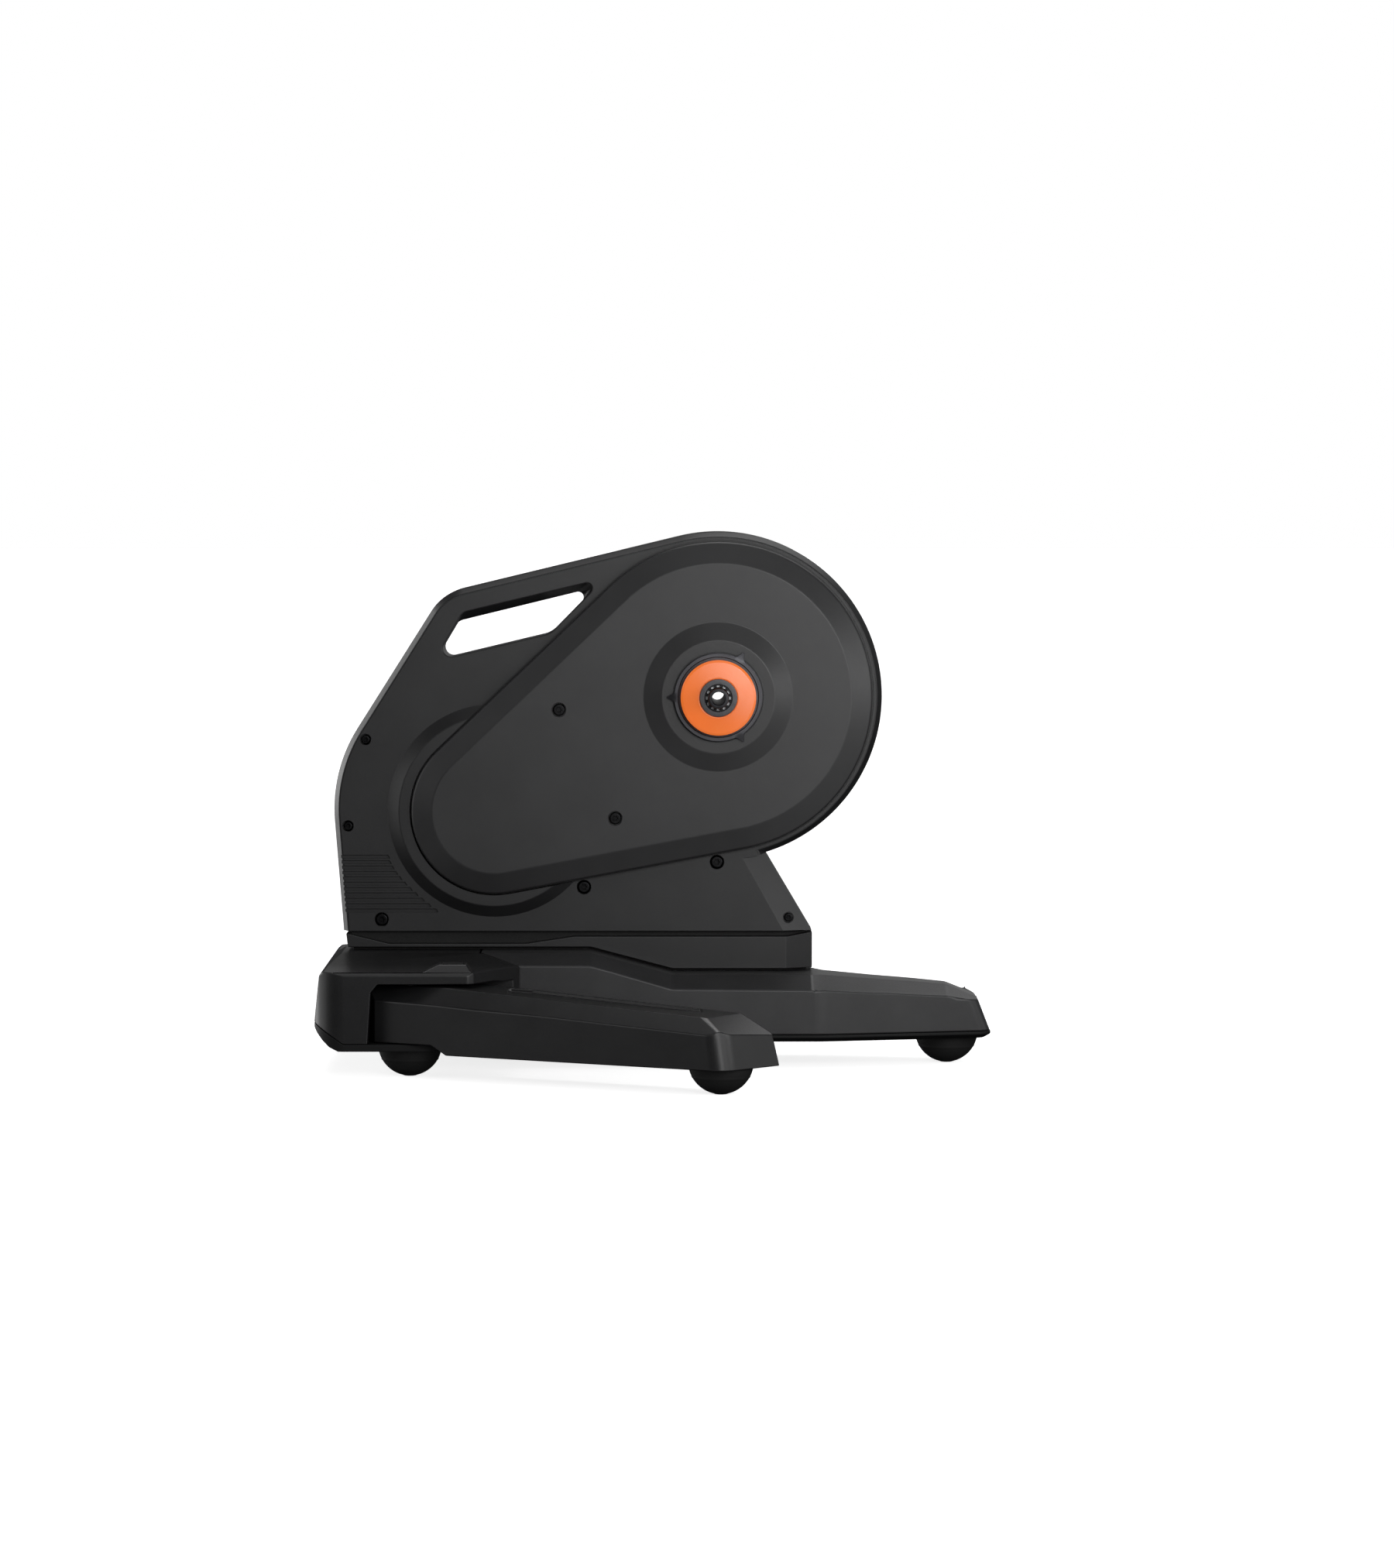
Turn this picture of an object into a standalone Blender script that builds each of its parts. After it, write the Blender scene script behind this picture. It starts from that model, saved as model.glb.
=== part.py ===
"""Direct drive bike trainer with folding legs.

The bike's rear wheel comes off, its dropouts clamp on the ends of the hollow axle, and the chain
turns one sprocket. A belt carries that turn from a large pulley to a small one on the flywheel's
shaft, where an electromagnetic brake resists it. The stand is a rear base, a front beam and two
legs that open sideways on upright pins.

All sizes below are in millimetres and MM turns them into Blender's metres. X points to the front
of the bike, Y to its left, so the chain side is at -Y, and Z up. Places are measured from the
point of the floor under the axle, which the empty "trainer" sets at its place in the frame.
"""

import math

import bmesh
import bpy
from mathutils import Vector

MM = 0.001
GAP = 0.3
ARC_STEP = 8.0

# Overall places: the hub axis, the flywheel axis and the ends of the stand
HUB_Z = 340.0
FLYWHEEL_X = -207.0
FLYWHEEL_Z = 234.0
REAR_END_X = -366.2
FRONT_END_X = 251.6
AXLE_X = -(REAR_END_X + FRONT_END_X) / 2
OVER_LOCKNUT = 142.0

# Depths across the body, from the chain side to the far side
COVER_FACE_Y = -26.0
COVER_BOSS_Y = -32.0
COVER_SEAT_Y = -16.0
HOUSING_NEAR_Y = -6.0
HOUSING_FAR_Y = 62.0
PARTING_Y = (HOUSING_NEAR_Y + HOUSING_FAR_Y) / 2
WALL = 3.0

# Round forms of the body
HOUSING_R = 152.0
COVER_BIG_R = 142.5
COVER_SMALL_R = 76.5
COVER_CHAMFER = 19.0
COVER_BOSS_R = 68.0
COVER_BOSS_TOP_R = 52.5
FLYWHEEL_BOSS_R = 98.6
FLYWHEEL_BOSS_TOP_R = 88.0
EDGE_BAND = 6.5
TOP_LINE_DEG = 103.7

# Belt drive: seven turns of the flywheel for one of the hub
BELT_BIG_R = 126.0
BELT_SMALL_R = 18.0
BELT_THICK = 2.5
BELT_NEAR_Y = -13.0
BELT_FAR_Y = 2.0

# Stand
FOOT_R = 29.25
CONTACT_CUT = 0.4
TRAY_BOTTOM_Z = 25.3
TRAY_TOP_Z = 31.8
LIP_UNDER_Z = 86.0
LIP_TOP_Z = 96.8
SADDLE_Z = 104.6
BEAM_TOP_Z = 84.6
BASE_HALF = 160.0
HINGE_X = -280.4
HINGE_Y = 120.0
LEG_LENGTH = 322.0
LEG_OPEN_DEG = 29.4
PIN_R = 8.0
FRONT_FOOT_X = 212.2

# Screws: place in X and Z, and radius of the recess that holds the head
HOUSING_SCREWS = {
    "housing_screw_1": (-311.5, 132.8, 6.4),
    "housing_screw_2": (-124.2, 162.9, 6.4),
    "housing_screw_3": (-1.0, 186.1, 6.4),
    "housing_screw_4": (65.6, 134.3, 5.0),
    "housing_screw_5": (-342.4, 219.6, 5.0),
    "housing_screw_6": (-326.0, 299.8, 5.0),
}
COVER_SCREWS = {
    "cover_screw_1": (-146.8, 328.0, 6.4),
    "cover_screw_2": (-95.0, 227.8, 6.4),
}


# Materials

def material(name, colour, roughness, metallic=0.0):
    made = bpy.data.materials.new(name)
    made.use_nodes = True
    shader = made.node_tree.nodes["Principled BSDF"]
    shader.inputs["Base Color"].default_value = (*colour, 1.0)
    shader.inputs["Roughness"].default_value = roughness
    shader.inputs["Metallic"].default_value = metallic
    return made


# Outlines: lists of (a, b) points in one plane, counter-clockwise

def arc(centre, radius, start, end, step=ARC_STEP):
    count = max(2, math.ceil(abs(end - start) / step))
    turns = [math.radians(start + (end - start) * i / count) for i in range(count + 1)]
    return [(centre[0] + radius * math.cos(t), centre[1] + radius * math.sin(t)) for t in turns]


def circle(centre, radius, count=48, first=0.0):
    turns = [math.radians(first) + math.tau * i / count for i in range(count)]
    return [(centre[0] + radius * math.cos(t), centre[1] + radius * math.sin(t)) for t in turns]


def fillet(before, at, after, radius):
    """The points of an arc that rounds the corner at `at`."""
    corner = Vector(at)
    back = (Vector(before) - corner).normalized()
    ahead = (Vector(after) - corner).normalized()
    half = back.angle(ahead) / 2
    reach = radius / math.tan(half)
    middle = corner + (back + ahead).normalized() * (radius / math.sin(half))
    first = corner + back * reach - middle
    last = corner + ahead * reach - middle
    sweep = first.angle_signed(last)
    count = max(2, math.ceil(math.degrees(abs(sweep)) / ARC_STEP))
    start = math.atan2(first.y, first.x)
    return [
        (middle.x + radius * math.cos(start - sweep * i / count),
         middle.y + radius * math.sin(start - sweep * i / count))
        for i in range(count + 1)
    ]


def outline(*items):
    """Joins points, points with a corner radius, and lists of points into one closed outline."""
    ends = [(item[0][:2], item[-1][:2]) if isinstance(item, list) else (item[:2], item[:2])
            for item in items]
    points = []
    for i, item in enumerate(items):
        if isinstance(item, list):
            points += item
        elif len(item) == 3:
            points += fillet(ends[i - 1][1], item[:2], ends[(i + 1) % len(items)][0], item[2])
        else:
            points.append(item)
    return points


def around(centres_and_radii, step=ARC_STEP):
    """The outline of a band stretched round two circles, given as (x, z, radius) each."""
    (x0, z0, r0), (x1, z1, r1) = centres_and_radii
    heading = math.degrees(math.atan2(z1 - z0, x1 - x0))
    spread = math.degrees(math.acos((r0 - r1) / math.dist((x0, z0), (x1, z1))))
    big = arc((x0, z0), r0, heading + spread, heading + 360 - spread, step)
    small = arc((x1, z1), r1, heading - spread, heading + spread, step)
    return big + small


def inset(points, distance):
    """The outline moved inward by a distance, or outward by a negative one."""
    moved = []
    for i, point in enumerate(points):
        here = Vector(point)
        before = (here - Vector(points[i - 1])).normalized()
        after = (Vector(points[(i + 1) % len(points)]) - here).normalized()
        inward = Vector((-before.y - after.y, before.x + after.x)).normalized()
        scale = inward.dot(Vector((-before.y, before.x)))
        moved.append(tuple(here + inward * (distance / scale)))
    return moved


# Meshes

def add_object(name, mesh, parent, surface, smooth_deg=30.0):
    made = bpy.data.objects.new(name, mesh)
    bpy.context.scene.collection.objects.link(made)
    made.parent = parent
    if surface is None:
        made.hide_render = True
        made.display_type = "WIRE"
    else:
        mesh.materials.append(surface)
        mesh.shade_smooth()
        mesh.set_sharp_from_angle(angle=math.radians(smooth_deg))
    return made


def build(name, points, faces, parent, surface=None):
    """One closed mesh from points in millimetres. With no surface it is a cutter."""
    mesh = bpy.data.meshes.new(name)
    mesh.from_pydata([Vector(point) * MM for point in points], [], faces)
    shape = bmesh.new()
    shape.from_mesh(mesh)
    bmesh.ops.recalc_face_normals(shape, faces=shape.faces)
    shape.to_mesh(mesh)
    shape.free()
    return add_object(name, mesh, parent, surface)


def loft(name, rings, parent, surface=None):
    """Rings of equally many points, joined in order and closed at both ends."""
    count = len(rings[0])
    faces = [tuple(range(count)), tuple(range((len(rings) - 1) * count, len(rings) * count))]
    for level in range(len(rings) - 1):
        low, high = level * count, (level + 1) * count
        for i in range(count):
            j = (i + 1) % count
            faces.append((low + i, low + j, high + j, high + i))
    return build(name, [point for ring in rings for point in ring], faces, parent, surface)


def tube(name, rings, parent, surface=None):
    """As loft, but the last ring joins the first, which leaves a hole through the middle."""
    count = len(rings[0])
    faces = []
    for level in range(len(rings)):
        low, high = level * count, (level + 1) % len(rings) * count
        for i in range(count):
            j = (i + 1) % count
            faces.append((low + i, low + j, high + j, high + i))
    return build(name, [point for ring in rings for point in ring], faces, parent, surface)


def across(points, y):
    """An outline in X and Z, set at a depth."""
    return [(x, y, z) for x, z in points]


def level(points, z):
    """An outline in X and Y, set at a height."""
    return [(x, y, z) for x, y in points]


def plate(name, points, near, far, parent, surface=None):
    return loft(name, [across(points, near), across(points, far)], parent, surface)


def slab(name, points, low, high, parent, surface=None):
    return loft(name, [level(points, low), level(points, high)], parent, surface)


def block(name, low, high, parent, surface=None):
    corners = [(low[0], low[1]), (high[0], low[1]), (high[0], high[1]), (low[0], high[1])]
    return slab(name, corners, low[2], high[2], parent, surface)


def turned(name, profile, centre, parent, surface=None, upright=False, count=28):
    """A solid turned from a closed profile of (radius, place along the axis) points.

    The axis runs along Y, or along Z if it is upright. A radius of 0 lies on the axis.
    """
    rings = []
    for radius, along in profile:
        if radius:
            ring = circle((0, 0), radius, count)
            places = [(a, b, along) if upright else (a, along, b) for a, b in ring]
            rings.append([tuple(p + c for p, c in zip(place, centre)) for place in places])
    make = loft if profile[0][0] == 0 else tube
    return make(name, rings, parent, surface)


def pin(name, centre, radius, near, far, parent, surface=None, upright=False, count=20):
    profile = [(0, near), (radius, near), (radius, far), (0, far)]
    return turned(name, profile, centre, parent, surface, upright, count)


def combine(target, other, operation):
    change = target.modifiers.new(other.name, "BOOLEAN")
    change.operation = operation
    change.solver = "EXACT"
    change.object = other


def cut(target, *cutters):
    for cutter in cutters:
        combine(target, cutter, "DIFFERENCE")


def join(target, *others):
    for other in others:
        combine(target, other, "UNION")


def keep_within(target, other):
    combine(target, other, "INTERSECT")


def empty(name, place, parent=None, turn_deg=0.0):
    made = bpy.data.objects.new(name, None)
    bpy.context.scene.collection.objects.link(made)
    made.parent = parent
    made.location = Vector(place) * MM
    made.rotation_euler.z = math.radians(turn_deg)
    return made


for old in list(bpy.data.objects):
    bpy.data.objects.remove(old, do_unlink=True)

GREY_PLASTIC = material("grey_plastic", (0.035, 0.035, 0.036), 0.5)
DARK_PLASTIC = material("dark_plastic", (0.018, 0.018, 0.019), 0.55)
COVER_PLASTIC = material("cover_plastic", (0.05, 0.05, 0.051), 0.45)
PAINTED_METAL = material("painted_metal", (0.03, 0.03, 0.031), 0.5)
CAST_ALUMINIUM = material("cast_aluminium", (0.55, 0.56, 0.57), 0.45, 1.0)
STEEL = material("steel", (0.42, 0.42, 0.43), 0.3, 1.0)
BLACK_STEEL = material("black_steel", (0.02, 0.02, 0.02), 0.35, 1.0)
BRONZE = material("bronze", (0.5, 0.33, 0.14), 0.4, 1.0)
RUBBER = material("rubber", (0.012, 0.012, 0.012), 0.8)
ORANGE_PLASTIC = material("orange_plastic", (0.75, 0.12, 0.015), 0.35)
COPPER = material("copper_winding", (0.55, 0.2, 0.08), 0.35, 1.0)
BOARD_GREEN = material("circuit_board", (0.02, 0.12, 0.05), 0.5)
LIGHT_LENS = material("light_lens", (0.6, 0.65, 0.65), 0.2)

trainer = empty("trainer", (AXLE_X, 0, 0))
hub_axis = empty("hub_axis", (0, 0, HUB_Z), trainer)
flywheel_axis = empty("flywheel_axis", (FLYWHEEL_X, 0, FLYWHEEL_Z), trainer)
HUB = (0, HUB_Z)
FLYWHEEL = (FLYWHEEL_X, FLYWHEEL_Z)


# Body shells: two moulded halves that meet on the parting plane

HANDLE_TOP_LEFT = (-236.1, 417.1)
HANDLE_TOP_RIGHT = (-105.6, 448.2)
HANDLE_LOW_RIGHT = (-154.9, 398.0)
HANDLE_LOW_LEFT = (-262.8, 372.2)
GRIP_BULGE = 8.4
NECK_TOP = (44.0, 194.5)
NECK_FOOT = (87.0, 122.0)
FACET_TOP = (20.3, 194.0)
FACET_FOOT = (60.5, 122.0)
FACET_DEPTH = 14.0
HOUSING_BOTTOM_Z = 122.0
VENT_PITCH = 5.0
VENT_COUNT = 11


def housing_outline():
    end = math.degrees(math.atan2(NECK_TOP[1] - HUB_Z, NECK_TOP[0]))
    return outline(
        (-347.1, HOUSING_BOTTOM_Z),
        NECK_FOOT,
        arc(HUB, HOUSING_R, end, TOP_LINE_DEG),
        (-254.9, 434.9, 48.0),
        (-359.0, 270.4, 140.0),
    )


def housing_ring(y, distance):
    """The outline moved inward all round but at the bottom, where the housing ends square."""
    points = inset(housing_outline(), distance)
    floor = HOUSING_BOTTOM_Z + min(distance, 1.0)
    return [(x, y, max(z, floor) if i > 1 else floor) for i, (x, z) in enumerate(points)]


def cavity_outline():
    return outline(
        (-338.3, 127.0, 6.0),
        (51.0, 127.0, 6.0),
        arc(HUB, HOUSING_R - EDGE_BAND - WALL, -84, 138),
        (-140.0, 392.5),
        (-165.0, 386.5),
        (-281.0, 359.0, 5.0),
        (-349.3, 268.0, 125.0),
    )


def handle_opening(drop=0.0):
    """The finger gap's outline. The drop lowers its upper edge, where the grip is thickest."""
    return outline(
        (*HANDLE_LOW_LEFT, 8.0),
        (*HANDLE_LOW_RIGHT, 22.0),
        (HANDLE_TOP_RIGHT[0] - drop * 0.98, HANDLE_TOP_RIGHT[1] - drop, 5.0),
        (HANDLE_TOP_LEFT[0] - drop * 0.59, HANDLE_TOP_LEFT[1] - drop, 11.0),
    )


def half_shell(name, face_y, side, surface):
    """One half of the housing. Side is -1 for the near half and 1 for the far one."""
    inner_y = PARTING_Y + side * GAP / 2
    steps = [(face_y, EDGE_BAND), (face_y - side * 8, 1.2), (face_y - side * 11, 0), (inner_y, 0)]
    shell = loft(name, [housing_ring(y, distance) for y, distance in steps], trainer, surface)
    hollow = plate(name + "_hollow", cavity_outline(), face_y - side * WALL,
                   inner_y - side * 5, trainer)
    cut(hollow, *[pin(f"{name}_post_{i}", (x, 0, z), r + 2.6, -40, 100, trainer)
                  for i, (x, z, r) in enumerate(HOUSING_SCREWS.values())])
    cut(shell, hollow)
    grip_gap = loft(name + "_grip_gap", [
        across(inset(handle_opening(), -0.6), face_y + side * 1),
        across(handle_opening(), face_y - side * 2),
        across(handle_opening(GRIP_BULGE * 0.75), inner_y + side * 12),
        across(handle_opening(GRIP_BULGE), inner_y),
        across(handle_opening(GRIP_BULGE), inner_y - side * 2),
    ], trainer)
    cut(shell, grip_gap)
    return shell


def neck_facet_cutter(name, side, face_y):
    """A wedge that slopes the neck's front back from the face, under the round end."""
    along = (Vector(FACET_FOOT) - Vector(FACET_TOP)).normalized()
    foot = Vector(FACET_FOOT) + along * 20
    reach = 60.0
    back = FACET_DEPTH * reach / (NECK_FOOT[0] - FACET_FOOT[0])

    def ring(x, z):
        return [(x, face_y, z), (x + reach, face_y - side * back, z),
                (x + reach, face_y + side * 5, z), (x, face_y + side * 5, z)]

    wedge = loft(name, [ring(*FACET_TOP), ring(foot.x, foot.y)], trainer)
    cut(wedge, pin(name + "_end", (0, 0, HUB_Z), HOUSING_R + 0.2, -60, 100, trainer, count=64))
    return wedge


drive_side = half_shell("drive_side_housing", HOUSING_NEAR_Y, -1, GREY_PLASTIC)
cut(drive_side, neck_facet_cutter("near_neck_facet", -1, HOUSING_NEAR_Y))
far_side = half_shell("far_side_housing", HOUSING_FAR_Y, 1, GREY_PLASTIC)
cut(far_side, neck_facet_cutter("far_neck_facet", 1, HOUSING_FAR_Y))


def seat_band(extra):
    return around([(*HUB, COVER_BIG_R + extra), (*FLYWHEEL, COVER_SMALL_R + extra)])


# The flywheel boss and the seat of the belt cover stand up from the near face
flywheel_boss = turned("flywheel_boss", [
    (0, HOUSING_NEAR_Y + 1),
    (FLYWHEEL_BOSS_R, HOUSING_NEAR_Y + 1),
    (FLYWHEEL_BOSS_R, HOUSING_NEAR_Y),
    (FLYWHEEL_BOSS_TOP_R, COVER_SEAT_Y),
    (0, COVER_SEAT_Y),
], (FLYWHEEL_X, 0, FLYWHEEL_Z), trainer)
cover_seat = plate("cover_seat", seat_band(-2.5), COVER_SEAT_Y, HOUSING_NEAR_Y + 1, trainer)
belt_opening = plate("belt_opening", seat_band(-8.5), COVER_SEAT_Y - 2,
                     HOUSING_NEAR_Y + WALL + 2, trainer)
join(drive_side, flywheel_boss, cover_seat)
cut(drive_side, belt_opening)

# The foot of the frame plate passes through the bottom of both halves
frame_slot = block("frame_slot", (-172, 3, 100), (42, 47, 140), trainer)
cut(drive_side, frame_slot)
cut(far_side, frame_slot)

# Cooling grooves low on the rear edge, cut shorter towards the top by the flywheel boss
VENT_TOP_Z = 191.2
VENT_HALF = 1.6
VENT_END_X = (-304.6, -260.1)


def vent_comb():
    teeth = []
    for i in reversed(range(VENT_COUNT)):
        z = VENT_TOP_Z - VENT_PITCH * i
        end_x = VENT_END_X[0] + (VENT_END_X[1] - VENT_END_X[0]) * (i / (VENT_COUNT - 1)) ** 1.5
        teeth += [(-370, z - VENT_HALF), (end_x, z - VENT_HALF), (end_x, z + VENT_HALF),
                  (-370, z + VENT_HALF)]
    return teeth + [(-380, VENT_TOP_Z + VENT_HALF), (-380, VENT_TOP_Z - 60)]


cut(drive_side, plate("vent_grooves", vent_comb(), HOUSING_NEAR_Y - 5, HOUSING_NEAR_Y + 1.3,
                      trainer))

# Air slots of the brake on the far side
for i in range(7):
    z = 205.0 + 9.5 * i
    cut(far_side, block(f"air_slot_{i + 1}", (-250, HOUSING_FAR_Y - 8, z - 2),
                        (-164, HOUSING_FAR_Y + 5, z + 2), trainer))


# Belt cover: a dish with a wide chamfer and a raised boss round the sprocket

def cover_ring(y, distance):
    return across(inset(seat_band(0), distance), y)


belt_cover = loft("belt_cover", [
    cover_ring(COVER_SEAT_Y - GAP, 0),
    cover_ring(COVER_SEAT_Y - 1.6, 0),
    cover_ring(COVER_SEAT_Y - 2.8, 1.0),
    cover_ring(COVER_FACE_Y, COVER_CHAMFER),
], trainer, COVER_PLASTIC)
join(belt_cover, turned("cover_boss", [
    (0, COVER_FACE_Y + 1),
    (COVER_BOSS_R, COVER_FACE_Y + 1),
    (COVER_BOSS_R, COVER_FACE_Y),
    (COVER_BOSS_TOP_R, COVER_BOSS_Y),
    (0, COVER_BOSS_Y),
], (0, 0, HUB_Z), trainer))
cover_hollow = loft("cover_hollow", [
    cover_ring(COVER_SEAT_Y + 2, 3.0),
    cover_ring(COVER_SEAT_Y - 2, 4.0),
    cover_ring(COVER_FACE_Y + WALL, COVER_CHAMFER + 1),
], trainer)
for name, (x, z, _) in COVER_SCREWS.items():
    cut(cover_hollow, pin(f"{name}_boss", (x, 0, z), 8.8, COVER_FACE_Y, -17.8, trainer))
cut(belt_cover, cover_hollow)
cut(belt_cover, pin("cover_boss_hollow", (0, 0, HUB_Z), 48.0, COVER_BOSS_Y + WALL,
                    COVER_FACE_Y + 5, trainer))
cut(belt_cover, pin("cover_hub_hole", (0, 0, HUB_Z), 22.0, -50, 0, trainer))


# Screws: a round head with a star-shaped socket, sunk in its recess

SCREW_R = 2.5
HEAD_DEPTH = 4.0
RECESS_DEPTH = 5.2


def star(radius):
    """Six round lobes, as the socket of a star-drive screw has."""
    return [(radius * (0.86 + 0.14 * math.cos(6 * t)) * math.cos(t),
             radius * (0.86 + 0.14 * math.cos(6 * t)) * math.sin(t))
            for t in (math.tau * i / 12 for i in range(12))]


def add_screw(name, x, z, recess_r, face_y, length, halves):
    """The screw, and in each half that it passes a hole that clears it."""
    head_y = face_y + RECESS_DEPTH - HEAD_DEPTH
    seat_y = face_y + RECESS_DEPTH
    head_r = recess_r - 0.9
    screw = turned(name, [
        (0, head_y), (head_r - 0.8, head_y), (head_r, head_y + 0.8), (head_r, seat_y - GAP),
        (SCREW_R, seat_y - GAP), (SCREW_R, seat_y + length), (0, seat_y + length),
    ], (x, 0, z), trainer, BLACK_STEEL, count=16)
    socket = [(x + a, z + b) for a, b in star(2.6 if recess_r > 6 else 2.0)]
    cut(screw, plate(name + "_socket", socket, head_y - 1, head_y + 2.4, trainer))
    hole = turned(name + "_hole", [
        (0, face_y - 12), (recess_r, face_y - 12), (recess_r, seat_y), (SCREW_R + GAP, seat_y),
        (SCREW_R + GAP, seat_y + length + 1), (0, seat_y + length + 1),
    ], (x, 0, z), trainer, count=16)
    for half in halves:
        cut(half, hole)


for name, (x, z, recess_r) in HOUSING_SCREWS.items():
    face = HOUSING_NEAR_Y + (5.0 if name == "housing_screw_4" else 0.0)
    add_screw(name, x, z, recess_r, face, 42.0, (drive_side, far_side))


# Pedestal: the foot of the body, with a shadow groove between it and the housing

PEDESTAL_BOTTOM = [(-343, 107.2), (-118, 107.2), (-42, 87.0), (87.5, 87.0)]
PEDESTAL_TOP = [(87.5, 117), (-133, 117), (-178, 110.3), (-305, 110.3), (-344.6, 120)]
CORE_BOTTOM = [(-338, 105.2), (-119, 105.2), (-43, 85.0), (82, 85.0)]
CORE_TOP = [(82, HOUSING_BOTTOM_Z - GAP), (-340, HOUSING_BOTTOM_Z - GAP)]
GROOVE_DEPTH = 5.0

pedestal = plate("pedestal", PEDESTAL_BOTTOM + PEDESTAL_TOP, HOUSING_NEAR_Y, HOUSING_FAR_Y,
                 trainer, DARK_PLASTIC)
for name, side, face in (("near", -1, HOUSING_NEAR_Y), ("far", 1, HOUSING_FAR_Y)):
    cut(pedestal, slab(f"pedestal_{name}_corner", [
        (63, face + side * 10), (63, face), (87.6, face - side * FACET_DEPTH),
        (110, face - side * FACET_DEPTH), (110, face + side * 10),
    ], 80, 121, trainer))
pedestal_core = plate("pedestal_core", CORE_BOTTOM + CORE_TOP, HOUSING_NEAR_Y + GROOVE_DEPTH,
                      HOUSING_FAR_Y - GROOVE_DEPTH, trainer)
for name, side, face in (("near", -1, HOUSING_NEAR_Y), ("far", 1, HOUSING_FAR_Y)):
    inner_y = face - side * (GROOVE_DEPTH + 13)
    cut(pedestal_core, slab(f"core_{name}_corner", [
        (55, face + side * 10), (55, face - side * GROOVE_DEPTH), (77, inner_y), (110, inner_y),
        (110, face + side * 10),
    ], 80, HOUSING_BOTTOM_Z + 5, trainer))
join(pedestal, pedestal_core)
cut(pedestal, block("pedestal_slot", (-172, 3, 80), (42, 47, 125), trainer))


# Frame plate: carries the axle and the flywheel's near bearing and stands on the base rail

PLATE_NEAR_Y = 4.5
PLATE_FAR_Y = 12.5
RAIL_TOP_Z = 76.0

frame_plate = plate("frame_plate", around([(*HUB, 42.0), (*FLYWHEEL, 36.0)]), PLATE_NEAR_Y,
                    PLATE_FAR_Y, trainer, CAST_ALUMINIUM)
join(frame_plate, plate("frame_leg", [
    (-168, RAIL_TOP_Z + GAP), (38, RAIL_TOP_Z + GAP), (38, 126), (6, 190), (6, 330),
    (-205, 230), (-168, 160),
], PLATE_NEAR_Y, PLATE_FAR_Y, trainer))
join(frame_plate, plate("frame_arm", [
    (-100, 270), (-10, 372), (-144, 339), (-158, 330), (-196, 262),
], PLATE_NEAR_Y, PLATE_FAR_Y, trainer))
join(frame_plate, block("frame_foot", (-168, PLATE_NEAR_Y, RAIL_TOP_Z + GAP),
                        (38, 44, RAIL_TOP_Z + 14), trainer))
join(frame_plate, pin("frame_hub_boss", (0, 0, HUB_Z), 24.0, PLATE_NEAR_Y + 1, 52, trainer))
for name, (x, z, _) in COVER_SCREWS.items():
    join(frame_plate, pin(f"{name}_post", (x, 0, z), 7.0, -17.5, PLATE_NEAR_Y + 1, trainer))
for name in ("housing_screw_2", "housing_screw_3"):
    x, z, _ = HOUSING_SCREWS[name]
    cut(frame_plate, pin(f"{name}_passage", (x, 0, z), 10.5, 0, 20, trainer))
cut(frame_plate, pin("frame_hub_bore", (0, 0, HUB_Z), 9.0, -5, 60, trainer))
cut(frame_plate, pin("frame_flywheel_bore", (FLYWHEEL_X, 0, FLYWHEEL_Z), 13.3, -5, 60, trainer))
cut(frame_plate, plate("frame_window", outline(
    (-58, 110, 12.0), (2, 110, 12.0), (-20, 235, 12.0), (-70, 205, 12.0)), 0, 14, trainer))

for name, (x, z, recess_r) in COVER_SCREWS.items():
    add_screw(name, x, z, recess_r, COVER_FACE_Y, 18.0, (belt_cover, frame_plate))


# Axle and end caps: they stand still, and the bike's dropouts clamp on the caps

THRU_AXLE_R = 6.1
AXLE_R = 8.7
CAP_R = 9.3
END_Y = OVER_LOCKNUT / 2


def sleeve(name, centre, bore, outer, near, far, parent, surface, count=28):
    profile = [(outer, near), (outer, far), (bore, far), (bore, near)]
    return turned(name, profile, centre, parent, surface, count=count)


sleeve("hub_axle", (0, 0, HUB_Z), THRU_AXLE_R, AXLE_R, -54, 57, trainer, STEEL)
turned("drive_end_cap", [
    (THRU_AXLE_R, -END_Y), (CAP_R - 0.6, -END_Y), (CAP_R, -END_Y + 0.6), (CAP_R, -60),
    (AXLE_R, -60), (AXLE_R, -54 - GAP), (THRU_AXLE_R, -54 - GAP),
], (0, 0, HUB_Z), trainer, STEEL)
turned("far_end_cap", [
    (THRU_AXLE_R, 57 + GAP), (13.0, 57 + GAP), (13.0, 65), (10.5, 68), (10.5, END_Y - 0.6),
    (9.9, END_Y), (THRU_AXLE_R, END_Y),
], (0, 0, HUB_Z), trainer, STEEL)
cut(far_side, pin("far_axle_hole", (0, 0, HUB_Z), 14.0, 50, 80, trainer))


# Hub pulley, on two bearings round the fixed axle

HUB_SHELL_R = 19.0
BEARING_BORE = AXLE_R + GAP
BEARING_OUTER = 14.0


def bearing(name, centre, bore, outer, near, far):
    """A sealed ball bearing, as one ring with a groove on each side between its races."""
    middle = (bore + outer) / 2
    return turned(name, [
        (bore, near), (middle - 1.2, near), (middle - 1.0, near + 0.6), (middle + 1.0, near + 0.6),
        (middle + 1.2, near), (outer, near), (outer, far), (bore, far),
    ], centre, trainer, STEEL, count=20)


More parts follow.
